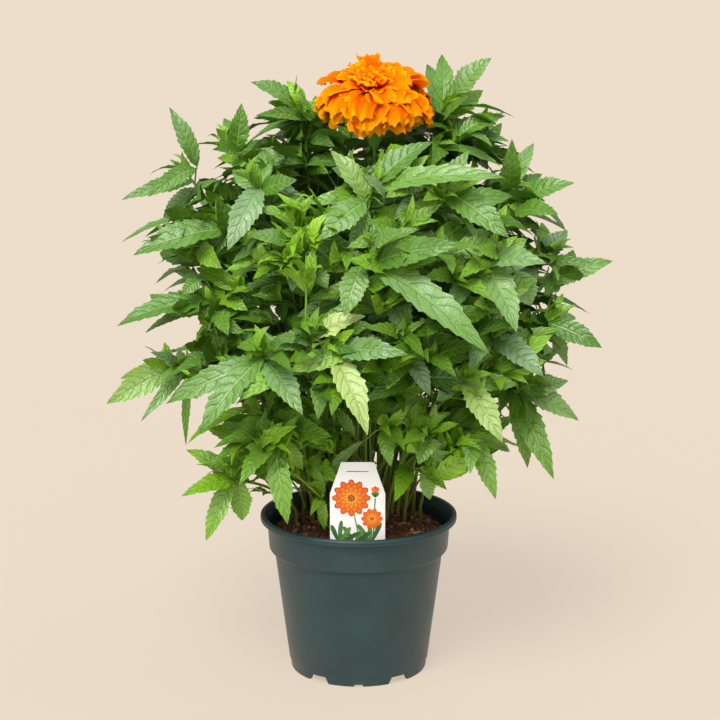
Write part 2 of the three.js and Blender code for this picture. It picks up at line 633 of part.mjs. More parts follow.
function leafSamples(leaf) {
  const samples = [];
  const steps = Math.ceil(leaf.length / 2);
  for (let i = 0; i <= steps; i += 1) {
    const t = i / steps;
    const { centre, side, normal } = leafFrame(leaf, t);
    const half = bladeHalf(leaf, t) * 1.05;
    const lanes = Math.max(1, Math.ceil(half / 2));
    for (let lane = -lanes; lane <= lanes; lane += 1) {
      const out = half * lane / lanes;
      const at = offset(centre, side, out).addScaledVector(normal, Math.abs(out) * BLADE_FOLD);
      samples.push({ t, at });
    }
  }
  return samples;
}

const bloomCentre = seen(BLOOM_CENTRE);

// Whether a point comes too near to the bloom, the pot, the soil or the label
function barred({ x, y, z }) {
  const fromAxis = Math.hypot(x, y);
  const fromBloom = Math.hypot(
    (x - bloomCentre.x) / BLOOM_ROOM.across,
    (y - bloomCentre.y) / BLOOM_ROOM.across,
    (z - bloomCentre.z) / BLOOM_ROOM.high,
  );
  const nearRim = z < POT_HEIGHT + KEEP_OFF && fromAxis > INNER_ROOM && fromAxis < RIM_RADIUS + KEEP_OFF;
  const nearSoil = z < SOIL_EDGE + SOIL_MOUND + KEEP_OFF && fromAxis <= INNER_ROOM;
  // Leaves leave the view of the label free, and that rises towards the eye
  const ahead = LABEL_DEPTH + LABEL_ROOM.deep - y;
  const nearLabel = Math.abs(x - LABEL_CENTRE) < LABEL_ROOM.across && ahead > 0
    && z < labelTop + LABEL_ROOM.sight * Math.max(0, ahead - 2 * LABEL_ROOM.deep);
  return fromBloom < 1 || nearRim || nearSoil || nearLabel;
}

function clashes(leaf, owner) {
  let count = 0;
  for (const { t, at } of leafSamples(leaf)) {
    const mine = taken.get(cellOf(at.x, at.y, at.z));
    if (barred(at) || (mine !== undefined && (mine !== owner || t > 0.4))) {
      count += 1;
    }
  }
  return count;
}

// The first way of placing a leaf that is clear, or the one that clashes least
function settle(options, owner, must) {
  let best = null;
  let fewest = Infinity;
  for (const leaf of options) {
    const count = clashes(leaf, owner);
    if (count < fewest) {
      best = leaf;
      fewest = count;
    }
    if (count === 0) {
      break;
    }
  }
  if (fewest > 0 && !must) {
    return null;
  }
  for (const { at } of leafSamples(best)) {
    mark(at, owner);
  }
  return best;
}

const DEPTH_SHIFTS = [0, -7, 7, -14, 14, -21, 21, 28];

// A leaf of the seen side keeps its place in the photograph and is moved in depth till it is clear
function seenLeaf(spray, spec, root, owner, draw) {
  const [across, down, depth, width, startAcross, startDown] = spec;
  const [jointAcross, jointDown, jointDepth] = spray.joint;
  const roll = (draw() - 0.5) * 0.5;
  const options = DEPTH_SHIFTS.map((shift) => {
    const tip = seen([across, down, depth + shift]);
    let start = root;
    if (startAcross !== undefined) {
      const near = Math.hypot(startAcross - jointAcross, startDown - jointDown);
      const far = Math.hypot(across - startAcross, down - startDown);
      const startDepth = jointDepth + (depth + shift - jointDepth) * near / (near + far);
      start = seen([startAcross, startDown, startDepth]);
    }
    return makeLeaf(root, start, tip, width, roll, TO_EYE);
  });
  return settle(options, owner, true);
}

// A spray of leaves round an outward shoot, each turned, raised or shortened till it is clear.
// Leaf 0 carries on the shoot's way and the others stand in pairs further and further round it.
const TURNS = [0, 0.2, -0.2, 0.4, -0.4];
const SHORTER = [1, 0.85, 0.7];

const PAIR_TURN = 0.72;       // radians from one pair to the next
const PAIR_SHORTER = 0.1;     // how much shorter each next pair is
const TIER_LIFT = 0.32;       // how much higher or lower than the shoot's way the leaves point
const DROOP = 0.1;            // how far a leaf's tip hangs, for each mm of length

function fannedLeaves([shoot, steps], { first, count, length, width, rootShift = 0 }, owner, draw) {
  const outward = outwardAt(shoot.v3);
  const flat = vec(outward.x, outward.y, 0).normalize();
  const side = flat.clone().cross(UP);
  const leaves = [];
  for (let i = first; i < first + count; i += 1) {
    const pair = Math.ceil(i / 2);
    const hand = i % 2 ? 1 : -1;
    const turn = hand * (pair * PAIR_TURN + (draw() - 0.5) * 0.3);
    const lift = outward.z * 0.5 + (i % 3 - 1) * TIER_LIFT + (draw() - 0.5) * 0.3 - DROOP;
    const long = length * (1 - PAIR_SHORTER * pair) * (0.88 + 0.24 * draw());
    const wide = width * (0.82 + 0.36 * draw());
    const roll = (draw() - 0.5) * 0.7;
    const root = rootOn(shoot, steps, i + rootShift);
    const options = [];
    for (const shorter of SHORTER) {
      for (const more of TURNS) {
        const way = flat.clone().multiplyScalar(Math.cos(turn + more))
          .addScaledVector(side, Math.sin(turn + more))
          .addScaledVector(UP, lift + more * hand * 0.5).normalize();
        const tip = offset(root, way, long * shorter).addScaledVector(UP, -DROOP * long);
        options.push(makeLeaf(root, root, tip, wide * Math.sqrt(shorter), roll, flat));
      }
    }
    const leaf = settle(options, owner, false);
    if (leaf) {
      leaves.push(leaf);
    }
  }
  return leaves;
}

// Plans: every stem is laid out and marked before the first leaf is placed
function planSeen() {
  return SEEN_STEMS.map(({ foot, sprays }) => {
    const stem = stemCurve(foot, seen(sprays[0].joint));
    const shoots = sprays.slice(1).map((spray) => shootCurve(stem, spray.from, seen(spray.joint)));
    return { foot, stem, shoots, sprays };
  });
}

function planFar() {
  return Array.from({ length: FAR_STEMS }, (_, i) => {
    const odd = i % 2;
    const turn = rad(FAR_START + (180 - 2 * FAR_START) * i / (FAR_STEMS - 1));
    const foot = [FAR_FEET.across * Math.cos(turn), FAR_FEET.back + FAR_FEET.deep * Math.sin(turn)];
    const joints = FAR_HEIGHTS.map((degrees, level) => {
      const round = turn + rad(FAR_SWAYS[level % 2] * (odd ? 1 : -1));
      const high = rad(degrees + odd * FAR_STAGGER);
      return vec(
        FAR_CROWN.across * Math.cos(high) * Math.cos(round),
        FAR_CROWN.back + FAR_CROWN.deep * Math.cos(high) * Math.sin(round),
        FAR_CROWN.centre + FAR_CROWN.high * Math.sin(high),
      );
    });
    const stem = stemCurve(foot, joints.pop());
    const shoots = joints.map((joint, level) => shootCurve(stem, FAR_LEAVING[level], joint));
    return { foot, stem, shoots };
  });
}

// The stem and side shoots of a plan, with the straight stretches that each is built of
const carriersOf = ({ stem, shoots }) => (
  [[stem, STEM_STEPS], ...shoots.map((shoot) => [shoot, SHOOT_STEPS])]);

const stemSolids = (plan) => [stemTube(plan), ...plan.shoots.map(shootTube)];

// Bloom: rings of ruffled petals that stand out of a small core. For each ring: how far its petals
// reach out, how high their tips are over the bloom's middle, and how high their roots are
const PETAL_RINGS = [
  { count: 7, reach: 33, rise: -21, width: 25, root: -8, turn: 0 },
  { count: 7, reach: 33.5, rise: -8, width: 25, root: -5, turn: 26 },
  { count: 6, reach: 30, rise: 5, width: 23, root: -1, turn: 8 },
  { count: 5, reach: 23, rise: 15, width: 19, root: 3, turn: 30 },
  { count: 4, reach: 14, rise: 20, width: 13, root: 6, turn: 5 },
  { count: 2, reach: 5, rise: 22, width: 8, root: 8, turn: 40 },
];
const PETAL_LANES = [-1, -0.5, 0, 0.5, 1];
const PETAL_RISE = 0.6;         // half of a petal's thickness along its middle
const PETAL_FOLD = 0.55;        // share of a petal's length where it bends over
const PETAL_WAIST = 0.6;        // its width there, as a share of its width at the end
const PETAL_LOBE = 2.4;         // how far the lobes of its end stand out

function petalSolid({ reach, rise, width, root }, turn, draw) {
  const out = vec(Math.cos(turn), Math.sin(turn), 0);
  const side = vec(-Math.sin(turn), Math.cos(turn), 0);
  const from = vec(0, 0, root).addScaledVector(out, 2);
  const to = vec(0, 0, rise + (draw() - 0.5) * 4).addScaledVector(out, reach * (0.94 + 0.12 * draw()));
  const curve = new THREE.QuadraticBezierCurve3(
    from, along(from, to, PETAL_FOLD).addScaledVector(UP, 5 + reach * 0.2), to);
  const ruffle = 1.6 + 1.4 * draw();
  const phase = draw() * 6.28;
  const rowAt = (t, spread, rise, lanes) => lanes.map((lane) => {
    const tangent = curve.getTangent(t);
    const normal = side.clone().cross(tangent).negate().normalize();
    const lobe = t === 1 ? PETAL_LOBE * (Math.cos(lane * 2 * Math.PI) - Math.abs(lane)) : 0;
    const wave = Math.sin(phase + lane * 4.2) * ruffle * t;
    return offset(curve.getPoint(t), side, lane * spread * width / 2)
      .addScaledVector(normal, wave + rise).addScaledVector(tangent, lobe);
  });
  // The root lies inside the core. Both faces share the outline, and only the middle is thick.
  const points = [
    from,
    ...rowAt(PETAL_FOLD, PETAL_WAIST, PETAL_RISE, PETAL_LANES),
    ...rowAt(1, 1, 0, PETAL_LANES),
    ...rowAt(PETAL_FOLD, PETAL_WAIST, -PETAL_RISE, PETAL_LANES),
  ];
  const count = PETAL_LANES.length;
  const faces = [];
  for (let lane = 0; lane + 1 < count; lane += 1) {
    const [endA, endB] = [1 + count + lane, 2 + count + lane];
    for (const [first, flip] of [[1, false], [1 + 2 * count, true]]) {
      const outer = (at) => (at === 0 || at === count - 1 ? 1 + at : first + at);
      const [a, b] = [outer(lane), outer(lane + 1)];
      for (const [p, q, r] of [[0, a, b], [a, endA, endB], [a, endB, b]]) {
        faces.push(flip ? [p, r, q] : [p, q, r]);
      }
    }
  }
  return solidOf(geometryFrom(points, faces));
}

function bloomSolid() {
  const draw = draws(5);
  const core = new THREE.SphereGeometry(CORE_RADIUS, 9, 6).rotateX(Math.PI / 2);
  const seat = new THREE.CylinderGeometry(SEAT.radius, SEAT.radius, SEAT.height, 8);
  seat.rotateX(Math.PI / 2).translate(0, 0, -SEAT.below);
  const solids = [solidOf(core.scale(1, 1, CORE_STRETCH)), solidOf(seat)];
  for (const ring of PETAL_RINGS) {
    for (let i = 0; i < ring.count; i += 1) {
      const turn = rad(ring.turn + 360 * i / ring.count) + (draw() - 0.5) * 0.12;
      solids.push(petalSolid(ring, turn, draw));
    }
  }
  return joined(solids).translate(bloomCentre.x, bloomCentre.y, bloomCentre.z);
}

const calyxTop = bloomCentre.z - SEAT.below - SEAT.height / 2 - GAP;

function flowerStemPlan() {
  const top = vec(bloomCentre.x, bloomCentre.y, calyxTop - CALYX_HEIGHT + 2);
  const start = vec(BLOOM_FOOT[0], BLOOM_FOOT[1], STEM_COLLAR);
  const stem = new THREE.CubicBezierCurve3(
    start, offset(start, UP, BLOOM_STEM_PULL.foot), offset(top, UP, -BLOOM_STEM_PULL.top), top);
  const shoots = BLOOM_SHOOTS.map(({ from, joint }) => shootCurve(stem, from, vec(...joint)));
  return { foot: BLOOM_FOOT, stem, shoots };
}

function calyxSolid() {
  const profile = [[0, 0], ...CALYX_PROFILE, [0, CALYX_HEIGHT]];
  const cup = lathe(profile.map(([radius, height]) => new THREE.Vector2(radius, height)), CALYX_SIDES);
  return solidOf(placed(cup, bloomCentre.x, bloomCentre.y, calyxTop - CALYX_HEIGHT));
}

const GREENS = [0x4f7f45, 0x456f3a, 0x5b8a4a, 0x3f6a3a];

// All leaves, by stem: first those that the photograph shows, then the far side's, the crown's top
// and the inner ones
function placeLeaves(seenPlans, farPlans, flowerStem) {
  const leaves = [];
  seenPlans.forEach((plan, owner) => {
    leaves.push(plan.sprays.flatMap((spray, i) => {
      const draw = draws(100 + owner * 10 + i);
      const [shoot, steps] = carriersOf(plan)[i];
      return spray.leaves.map((spec, number) => (
        seenLeaf(spray, spec, rootOn(shoot, steps, number), owner, draw)));
    }));
  });
  [...farPlans, flowerStem].forEach((plan, i) => {
    const spec = plan === flowerStem ? BLOOM_SPRAY : FAR_SPRAY;
    const carriers = plan === flowerStem ? carriersOf(plan).slice(1) : carriersOf(plan);
    leaves.push(carriers.flatMap((carrier, level) => (
      fannedLeaves(carrier, spec, seenPlans.length + i, draws(500 + i * 10 + level)))));
  });
  seenPlans.forEach((plan, owner) => {
    carriersOf(plan).slice(0, INNER_SPRAYS).forEach((carrier, i) => {
      const draw = draws(1000 + owner * 10 + i);
      leaves[owner].push(...fannedLeaves(carrier, INNER_SPRAY, owner, draw));
    });
  });
  return leaves;
}

function nameOf(owner, seenCount) {
  if (owner === seenCount + FAR_STEMS) {
    return 'flower_stem';
  }
  const [side, number] = owner < seenCount ? ['front', owner + 1] : ['back', owner + 1 - seenCount];
  return `leafy_stem_${side}_${String(number).padStart(2, '0')}`;
}

function build() {
  const plant = new THREE.Group();
  const seenPlans = planSeen();
  const farPlans = planFar();
  const flowerStem = flowerStemPlan();
  const plans = [...seenPlans, ...farPlans, flowerStem];
  plans.forEach((plan, owner) => {
    markCurve(plan.stem, owner);
    plan.shoots.forEach((shoot) => markCurve(shoot, owner));
  });
  const leaves = placeLeaves(seenPlans, farPlans, flowerStem);
  const holes = plans.map(({ foot }) => stemHole(foot));
  plant.add(named('pot', potSolid(), 0x3f4f4e, 0.45));
  plant.add(named('soil', soilSolid([...holes, solidOf(labelGeometry(GAP))]), 0x2e1d12, 0.95));
  plant.add(named('plant_label', solidOf(labelGeometry(0)), 0xf0eeee, 0.35));
  plant.add(named('bloom', bloomSolid(), 0xff8c00, 0.55));
  plans.forEach((plan, owner) => {
    const solids = stemSolids(plan);
    for (const leaf of leaves[owner]) {
      solids.push(bladeSolid(leaf, leaf.length > LONG_LEAF ? 3 : 2));
    }
    if (plan === flowerStem) {
      solids.push(calyxSolid());
    }
    plant.add(named(nameOf(owner, seenPlans.length), joined(solids), GREENS[owner % GREENS.length], 0.6));
  });
  return plant;
}

export default build();
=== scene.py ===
"""A french marigold in its nursery pot, dressed for rendering.

Stems and leaves stand where the part's solids have them, because the same seeded rule places them:
the leaves that the photograph shows are listed one by one, and the others fan out round their shoots.
The rule works in millimetres, and every mesh is in metres. -Y faces the viewer, and +Z is up.
"""
import math
from collections import namedtuple
from functools import partial

import bpy
import numpy as np
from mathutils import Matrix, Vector, noise


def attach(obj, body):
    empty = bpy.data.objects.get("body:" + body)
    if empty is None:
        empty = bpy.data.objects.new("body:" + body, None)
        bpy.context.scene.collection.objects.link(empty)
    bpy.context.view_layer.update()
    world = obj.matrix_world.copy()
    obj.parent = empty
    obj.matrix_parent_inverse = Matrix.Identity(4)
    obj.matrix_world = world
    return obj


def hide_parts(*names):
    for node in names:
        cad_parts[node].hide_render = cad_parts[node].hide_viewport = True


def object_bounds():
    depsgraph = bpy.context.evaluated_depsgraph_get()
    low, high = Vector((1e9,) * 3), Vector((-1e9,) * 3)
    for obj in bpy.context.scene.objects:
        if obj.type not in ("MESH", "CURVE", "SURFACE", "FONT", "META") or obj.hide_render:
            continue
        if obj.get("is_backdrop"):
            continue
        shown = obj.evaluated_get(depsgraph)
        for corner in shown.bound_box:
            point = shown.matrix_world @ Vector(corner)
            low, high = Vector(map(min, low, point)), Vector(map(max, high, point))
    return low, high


MM = 0.001
TURN = 6.283           # a full turn, in the seeded draws
ORIGIN = (0, 0, 0)

# Pot and soil, the same sizes as the solids
RIM_RADIUS = 60.0
POT_HEIGHT = 97.7
FOOT_RADIUS = 41.65
FLOOR_BOTTOM = 3.6
FLOOR_TOP = 5.6
BODY_END = 73.2
BODY_END_RADIUS = 51.3
BAND_END_RADIUS = 55.9
NOTCH_ANGLES = (36, 144, 216, 324)
NOTCH_WIDTH = 15.8
NOTCH_HEIGHT = 4.4
NOTCH_SLOPE = 2.5
NICK_WIDTH = 5.6
NICK_HEIGHT = 1.5
NICK_SLOPE = 0.3
NOTCH_REACH = 9.0      # how long the bars are that cut the notches, across the foot's ring
DRAIN_RADIUS = 5.0
MIDDLE_DRAIN_RADIUS = 6.0
DRAIN_CIRCLE = 27.0
SOIL_EDGE = 86.5
SOIL_MOUND = 9.0
SOIL_RADIUS = 50.0
POT_STEPS = 128
DRAIN_STEPS = 48

# Label
LABEL_TOP_PX = 462
LABEL_DEPTH = -44.5
LABEL_THICKNESS = 0.8
LABEL_CENTRE = -0.6
LABEL_TOP_WIDTH = 19.4
LABEL_WIDTH = 32.6
LABEL_SHOULDER_DROP = 19.2
LABEL_STAKE_END = 58.0
LABEL_STAKE_WIDTH = 9.0
LABEL_POINT_WIDTH = 3.0
LABEL_TAPER = 4.0

# Stems and leaves
STEM_FOOT = 70.0
STEM_COLLAR = 99.0
STEM_RADIUS = 1.9
STEM_TOP_RADIUS = 1.1
SHOOT_RADIUS = 1.1
STEM_STEPS = 4
SHOOT_STEPS = 3
LEAF_SPACING = 2.6
BLADE_FOLD = 0.28
BLADE_ARCH = 0.12
BLADE_UP = 0.62
BLADE_OUT = 0.75
ROOT_HALF = 0.42
PETIOLE_HALF = 0.7
PROFILE_PEAK = 0.3114

# Space that leaves keep clear of
CELL = 3.0
BLOOM_ROOM = (38.0, 38.0, 30.0)
LABEL_ROOM = (19.0, 3.5)
LABEL_SIGHT = 0.25
INNER_ROOM = 52.0
KEEP_OFF = 3.0

# The eye of the photograph, which listed leaves are placed from
EYE_DISTANCE = 1200.0
EYE_HEIGHT = 461.1
EYE_DOWN = 0.22
EYE_FOCAL = 2043.0
EYE_AXIS_PX = 358.6
EYE_HORIZON_PX = 360.0
IMAGE_PX = 720.0
SENSOR_MM = 36.0
BACKDROP = "#EDDECB"


# Leafy stems of the seen side. foot: where the stem leaves the soil, in mm. joint: where a spray of
# leaves sits, as pixel across, pixel down and depth in mm. The first joint ends the stem, and the
# others end side shoots that leave it at a share of its length. A leaf is the pixel across, pixel
# down and depth of its tip, its width in mm, and, where its blade starts away from the joint, that
# pixel. Bright sprays are young and yellow-green.
Stem = namedtuple("Stem", "foot sprays")
Spray = namedtuple("Spray", "share joint leaves bright", defaults=(False,))
SEEN_STEMS = (
    Stem((-24, 22), (
        Spray(1, (303, 112, 0), ((250.5, 82, -5, 13), (292, 83, 15, 9), (255, 116, -20, 8))),
        Spray(0.55, (236, 152, 0), ((241.5, 103, -2, 11), (224, 118, 10, 10), (212, 150, -5, 9),
            (264, 140, -8, 9))),
    )),
    Stem((-34, 14), (
        Spray(1, (190, 178, -10), ((169, 107, -10, 10, 197, 166), (121, 200, -30, 9),
            (148, 197, -40, 10, 194, 168), (163, 218, -10, 10))),
        Spray(0.6, (226, 230, -30), ((133, 255.6, -45, 17), (205, 262, -50, 10),
            (216, 196, -45, 11))),
    )),
    Stem((-25, 10), (
        Spray(1, (260, 188, -60), ((227.4, 251, -85, 15), (297.5, 180, -70, 11), (232, 170, -55, 10),
            (262, 150, -50, 10))),
        Spray(0.6, (300, 258, -82), ((327.5, 289, -95, 9, 314, 270.5), (261, 258, -95, 9, 294, 266),
            (247.5, 235.7, -85, 9, 290, 243), (292, 292, -98, 9), (318, 236, -92, 8)), True),
    )),
    Stem((-41, 8), (
        Spray(1, (212, 302, -30), ((116.7, 326.5, -40, 16), (144.8, 333.4, -30, 8),
            (181, 295, -35, 8, 200, 280), (228, 336, -55, 11))),
        Spray(0.5, (172, 370, -15), ((106.4, 404, -25, 14), (120.3, 378.5, -5, 9),
            (150, 352, -10, 8), (140.5, 422, -30, 7), (186, 446, -22, 5))),
    )),
    Stem((-28, -4), (
        Spray(1, (264, 357, -85), ((199, 434, -110, 15), (302.9, 415, -115, 15),
            (165.4, 404, -95, 14), (292, 372, -105, 9))),
        Spray(0.45, (275, 445, -60), ((287.7, 524.5, -72, 13), (239.5, 485, -75, 12),
            (303, 470, -62, 9))),
        Spray(0.08, (322, 498, -36), ((324.6, 530, -50, 6), (310, 516, -45, 5))),
    )),
    Stem((-38, -4), (
        Spray(1, (232, 480, -35), ((205.9, 541, -45, 11), (181, 496.6, -40, 11),
            (242, 520.7, -30, 12), (186, 449.6, -30, 10), (215, 455, -45, 9))),
    )),
    Stem((-8, 4), (
        Spray(1, (373, 188, -82), ((433, 141.6, -75, 14), (506, 178, -92, 13),
            (319.5, 240.6, -105, 15, 365, 202), (361, 175, -104, 10, 383.8, 203.6),
            (350.7, 252.7, -100, 9, 367.7, 210), (330, 150, -75, 12))),
    )),
    Stem((16, 8), (
        Spray(1, (444, 190, -76), ((509, 238, -100, 16), (395, 217, -88, 8, 419.5, 197),
            (470, 150, -70, 10))),
        Spray(0.7, (440, 252, -62), ((424, 292, -80, 11), (462, 290, -75, 10))),
    )),
    Stem((4, -10), (
        Spray(1, (369, 263, -98), ((490, 355, -125, 18), (463, 244, -110, 15),
            (344.5, 316.4, -115, 14, 361, 266), (402.5, 230.4, -106, 10, 374, 248))),
        Spray(0.72, (388, 290, -84), ((409.6, 339.6, -100, 14), (372, 330, -92, 10))),
        Spray(0.55, (410, 352, -82), ((386.4, 390.5, -104, 12), (430, 396, -96, 10))),
        Spray(0.3, (386, 430, -58), ((324, 490, -36, 6.5, 364, 441), (391, 467, -72, 9),
            (405, 452, -70, 8)), True),
    )),
    Stem((-14, -8), (
        Spray(1, (330, 350, -98), ((367.8, 435.8, -125, 15), (408.8, 354.8, -120, 13),
            (397, 378, -112, 15), (318, 420, -104, 12))),
        Spray(0.8, (309, 341, -96), ((366, 316, -125, 12), (278, 337, -115, 9),
            (300, 391, -106, 8))),
    )),
    Stem((20, 24), (
        Spray(1, (442, 120, -5), ((441.8, 54, -5, 12), (427, 64, 10, 10),
            (492, 57.7, -10, 13, 454, 96), (470, 96, -20, 9))),
        Spray(0.7, (474, 136, 5), ((504, 112, 0, 8), (509.6, 141.6, -15, 7), (488, 170, -25, 10))),
    )),
    Stem((34, 18), (
        Spray(1, (508, 193, -10), ((512, 138.6, -20, 12), (575, 183, -25, 13, 518.6, 201),
            (534, 143, 20, 10), (558.5, 214.5, -30, 13, 514, 214), (498, 232, -45, 11))),
        Spray(0.55, (541, 262, 0), ((567.7, 230, 10, 12), (591.8, 263, -5, 7),
            (613, 261, -10, 13, 543, 284), (528, 300, -30, 11))),
    )),
    Stem((24, 2), (
        Spray(1, (482, 262, -80), ((516.8, 332.7, -105, 17), (547, 264, -90, 15),
            (530.7, 306, -88, 14, 516, 272), (456, 290, -98, 9))),
        Spray(0.55, (491, 338, -66), ((543.6, 377, -85, 15), (470, 372, -86, 11),
            (516, 352, -60, 9))),
    )),
    Stem((38, 8), (
        Spray(1, (546, 322, -20), ((602, 347.9, -30, 13), (567, 366, -12, 10), (576, 318, -10, 10))),
        Spray(0.5, (522, 392, -25), ((568.6, 380.9, -25, 11), (578.8, 420.7, -35, 13),
            (553.9, 479.5, -50, 14), (527.5, 468.4, -45, 12), (500, 412, -45, 9))),
    )),
    Stem((28, -6), (
        Spray(1, (464, 381, -80), ((502.9, 443.4, -105, 14), (518.6, 385, -90, 10),
            (436, 402, -92, 9))),
        Spray(0.5, (474, 436, -50), ((495.9, 499.6, -65, 11), (470, 474, -62, 11),
            (510, 452, -50, 9))),
    )),
    Stem((17, -9), (
        Spray(1, (428, 437, -66), ((418.5, 465, -80, 11), (402, 446, -82, 9), (444, 462, -76, 9))),
        Spray(0.45, (425, 474, -35), ((447, 490, -42, 6), (430, 500, -46, 9))),
    )),
)

# Leafy stems of the far side, and what fills the crown
FAR_STEMS = 7
FAR_START = 12
FAR_CROWN = {"centre": 232, "back": 10, "across": 88, "deep": 60, "high": 92}
FAR_FEET = {"across": 34, "deep": 19, "back": 24}
FAR_HEIGHTS = (-36, -4, 28, 62)
FAR_STAGGER = 10
FAR_SWAYS = (-7, 9)
FAR_LEAVING = (0.26, 0.48, 0.7)
Fan = namedtuple("Fan", "first count length width root_shift", defaults=(0,))
FAR_SPRAY = Fan(0, 6, 62, 14)
INNER_SPRAYS = 2
INNER_SPRAY = Fan(3, 2, 52, 12, 2)
BLOOM_CENTRE = (374.5, 96, -18)
BLOOM_FOOT = (4, 16)
BLOOM_STEM_PULL = {"foot": 80, "top": 70}
BLOOM_SHOOTS = ((0.62, (-26, 12, 316)), (0.7, (12, 36, 322)))
BLOOM_SPRAY = Fan(0, 6, 52, 12)
SEAT_BELOW = 14.6
GAP = 0.35
CALYX_HEIGHT = 15.0

DEPTH_SHIFTS = (0, -7, 7, -14, 14, -21, 21, 28)
TURNS = (0, 0.2, -0.2, 0.4, -0.4)
SHORTER = (1, 0.85, 0.7)
PAIR_TURN = 0.72
PAIR_SHORTER = 0.1
TIER_LIFT = 0.32
DROOP = 0.1
FAN_SWAY = 0.3         # radians that leaves of a fan stray by, sideways and up or down
SEEN_ROLL = 0.5        # radians that blades roll by
FAN_ROLL = 0.7
FAN_LENGTHS = (0.88, 0.24)     # least share of the fan's length, and how much more there may be
FAN_WIDTHS = (0.82, 0.36)
STEM_PULLS = ((0.12, 0.12, 0.4), (0.45, 0.45, 0.78))    # shares of the way across, back and up
SHOOT_START = 0.3      # how far a shoot first keeps to its stem's direction, as a share of its reach
SHOOT_OVER = 0.66      # where it arches over, along its reach, and how far it rises there
SHOOT_RISE = 0.09
OUTWARD = (0.75, 0.65)         # how far out and how far up growth turns
SAMPLE_STEP = 2.0      # from one sample to the next on a leaf or a stem
SAMPLE_MARGIN = 1.05   # how much wider than the blade its samples lie
SHARED_ROOT = 0.4      # share of a blade that may come near to its own stem

UP = np.array((0.0, 0.0, 1.0))
TO_EYE = np.array((0.0, -1.0, 0.0))
Leaf = namedtuple("Leaf", "root start tip half length face curve")


def unit(vector):
    return vector / np.linalg.norm(vector)


def seen(across, down, depth):
    """The point that the photograph shows at a pixel, at a given depth."""
    right = (across - EYE_AXIS_PX) / EYE_FOCAL
    low = (down - EYE_HORIZON_PX) / EYE_FOCAL
    ahead = math.cos(EYE_DOWN) - low * math.sin(EYE_DOWN)
    rise = -math.sin(EYE_DOWN) - low * math.cos(EYE_DOWN)
    reach = (depth + EYE_DISTANCE) / ahead
    return np.array((right * reach, depth, EYE_HEIGHT + rise * reach))


def draws(seed):
    """A seeded row of numbers from 0 to 1, the same one that the solids use."""
    state = (seed * 7919 + 12345) % 4294967296
    while True:
        state = (state * 1664525 + 1013904223) % 4294967296
        yield state / 4294967296


def sway(draw, amount):
    """A seeded value, up to half of an amount to either side of nothing."""
    return (next(draw) - 0.5) * amount


def vary(draw, least, more):
    """A seeded value from a least one up to so much more."""
    return least + more * next(draw)


# Curves: a row of four control points
def on_curve(curve, t):
    t = np.atleast_1d(np.asarray(t, float))[:, None]
    return ((1 - t) ** 3 * curve[0] + 3 * (1 - t) ** 2 * t * curve[1]
            + 3 * (1 - t) * t * t * curve[2] + t ** 3 * curve[3])


def along_curve(curve, t):
    """The direction of a curve."""
    t = np.atleast_1d(np.asarray(t, float))
    step = on_curve(curve, np.minimum(1, t + 1e-4)) - on_curve(curve, np.maximum(0, t - 1e-4))
    return step / np.linalg.norm(step, axis=1)[:, None]


def curve_length(curve):
    return np.linalg.norm(np.diff(on_curve(curve, np.linspace(0, 1, 201)), axis=0), axis=1).sum()


def outward_at(point):
    flat = math.hypot(point[0], point[1])
    out, up = OUTWARD
    return unit(np.array((out * point[0] / flat, out * point[1] / flat, up)))


def stem_curve(foot, joint):
    """A stem stands upright in the soil, and bends outward above it."""
    start = np.array((foot[0], foot[1], STEM_COLLAR), float)
    span = joint - start
    return np.array((start, *(start + span * pull for pull in STEM_PULLS), joint))


def shoot_curve(stem, share, joint):
    """A side shoot leaves its stem at a share of the stem's length and arches over to its joint."""
    start = on_curve(stem, share)[0]
    reach = np.linalg.norm(joint - start)
    first = start + along_curve(stem, share)[0] * SHOOT_START * reach
    second = start + (joint - start) * SHOOT_OVER + UP * SHOOT_RISE * reach
    return np.array((start, first, second, joint))


def root_on(shoot, steps, number):
    """Where the leaf of a given number sits on the last stretch of its shoot."""
    before, end = on_curve(shoot, (1 - 1 / steps, 1))
    return end + (before - end) * number * LEAF_SPACING / np.linalg.norm(end - before)


# Leaves
def blade_half(leaf, t):
    t = np.clip(t, 0, 1)
    return leaf.half * t ** 0.75 * (1 - t) ** 0.95 / PROFILE_PEAK


def make_leaf(root, start, tip, width, roll, lookout):
    chord = tip - start
    length = np.linalg.norm(chord)
    way = chord / length
    face = UP * BLADE_UP + lookout * BLADE_OUT
    face = unit(face - way * face.dot(way))
    face = face * math.cos(roll) + np.cross(way, face) * math.sin(roll)
    curve = np.array((
        start,
        start + chord * 0.33 + face * BLADE_ARCH * length * 1.3,
        start + chord * 0.7 + face * BLADE_ARCH * length,
        tip,
    ))
    return Leaf(root, start, tip, width / 2, length, face, curve)


def leaf_frames(leaf, t):
    """Where a leaf's rib runs, and its sideways and upward directions there."""
    tangent = along_curve(leaf.curve, np.clip(t, 0.001, 0.999))
    side = np.cross(tangent, leaf.face)
    side /= np.linalg.norm(side, axis=1)[:, None]
    normal = np.cross(side, tangent)
    normal /= np.linalg.norm(normal, axis=1)[:, None]
    return on_curve(leaf.curve, t), side, normal


def leaf_samples(leaf):
    """Points spread over a leaf, each with its share of the blade's length."""
    steps = math.ceil(leaf.length / SAMPLE_STEP)
    t = np.arange(steps + 1) / steps
    centre, side, normal = leaf_frames(leaf, t)
    half = blade_half(leaf, t) * SAMPLE_MARGIN
    lanes = np.maximum(1, np.ceil(half / SAMPLE_STEP)).astype(int)
    row = np.repeat(np.arange(steps + 1), 2 * lanes + 1)
    first = np.repeat(np.cumsum(2 * lanes + 1) - lanes - 1, 2 * lanes + 1)
    lane = np.arange(len(row)) - first
    out = (half[row] * lane / lanes[row])[:, None]
    return t[row], centre[row] + side[row] * out + normal[row] * np.abs(out) * BLADE_FOLD


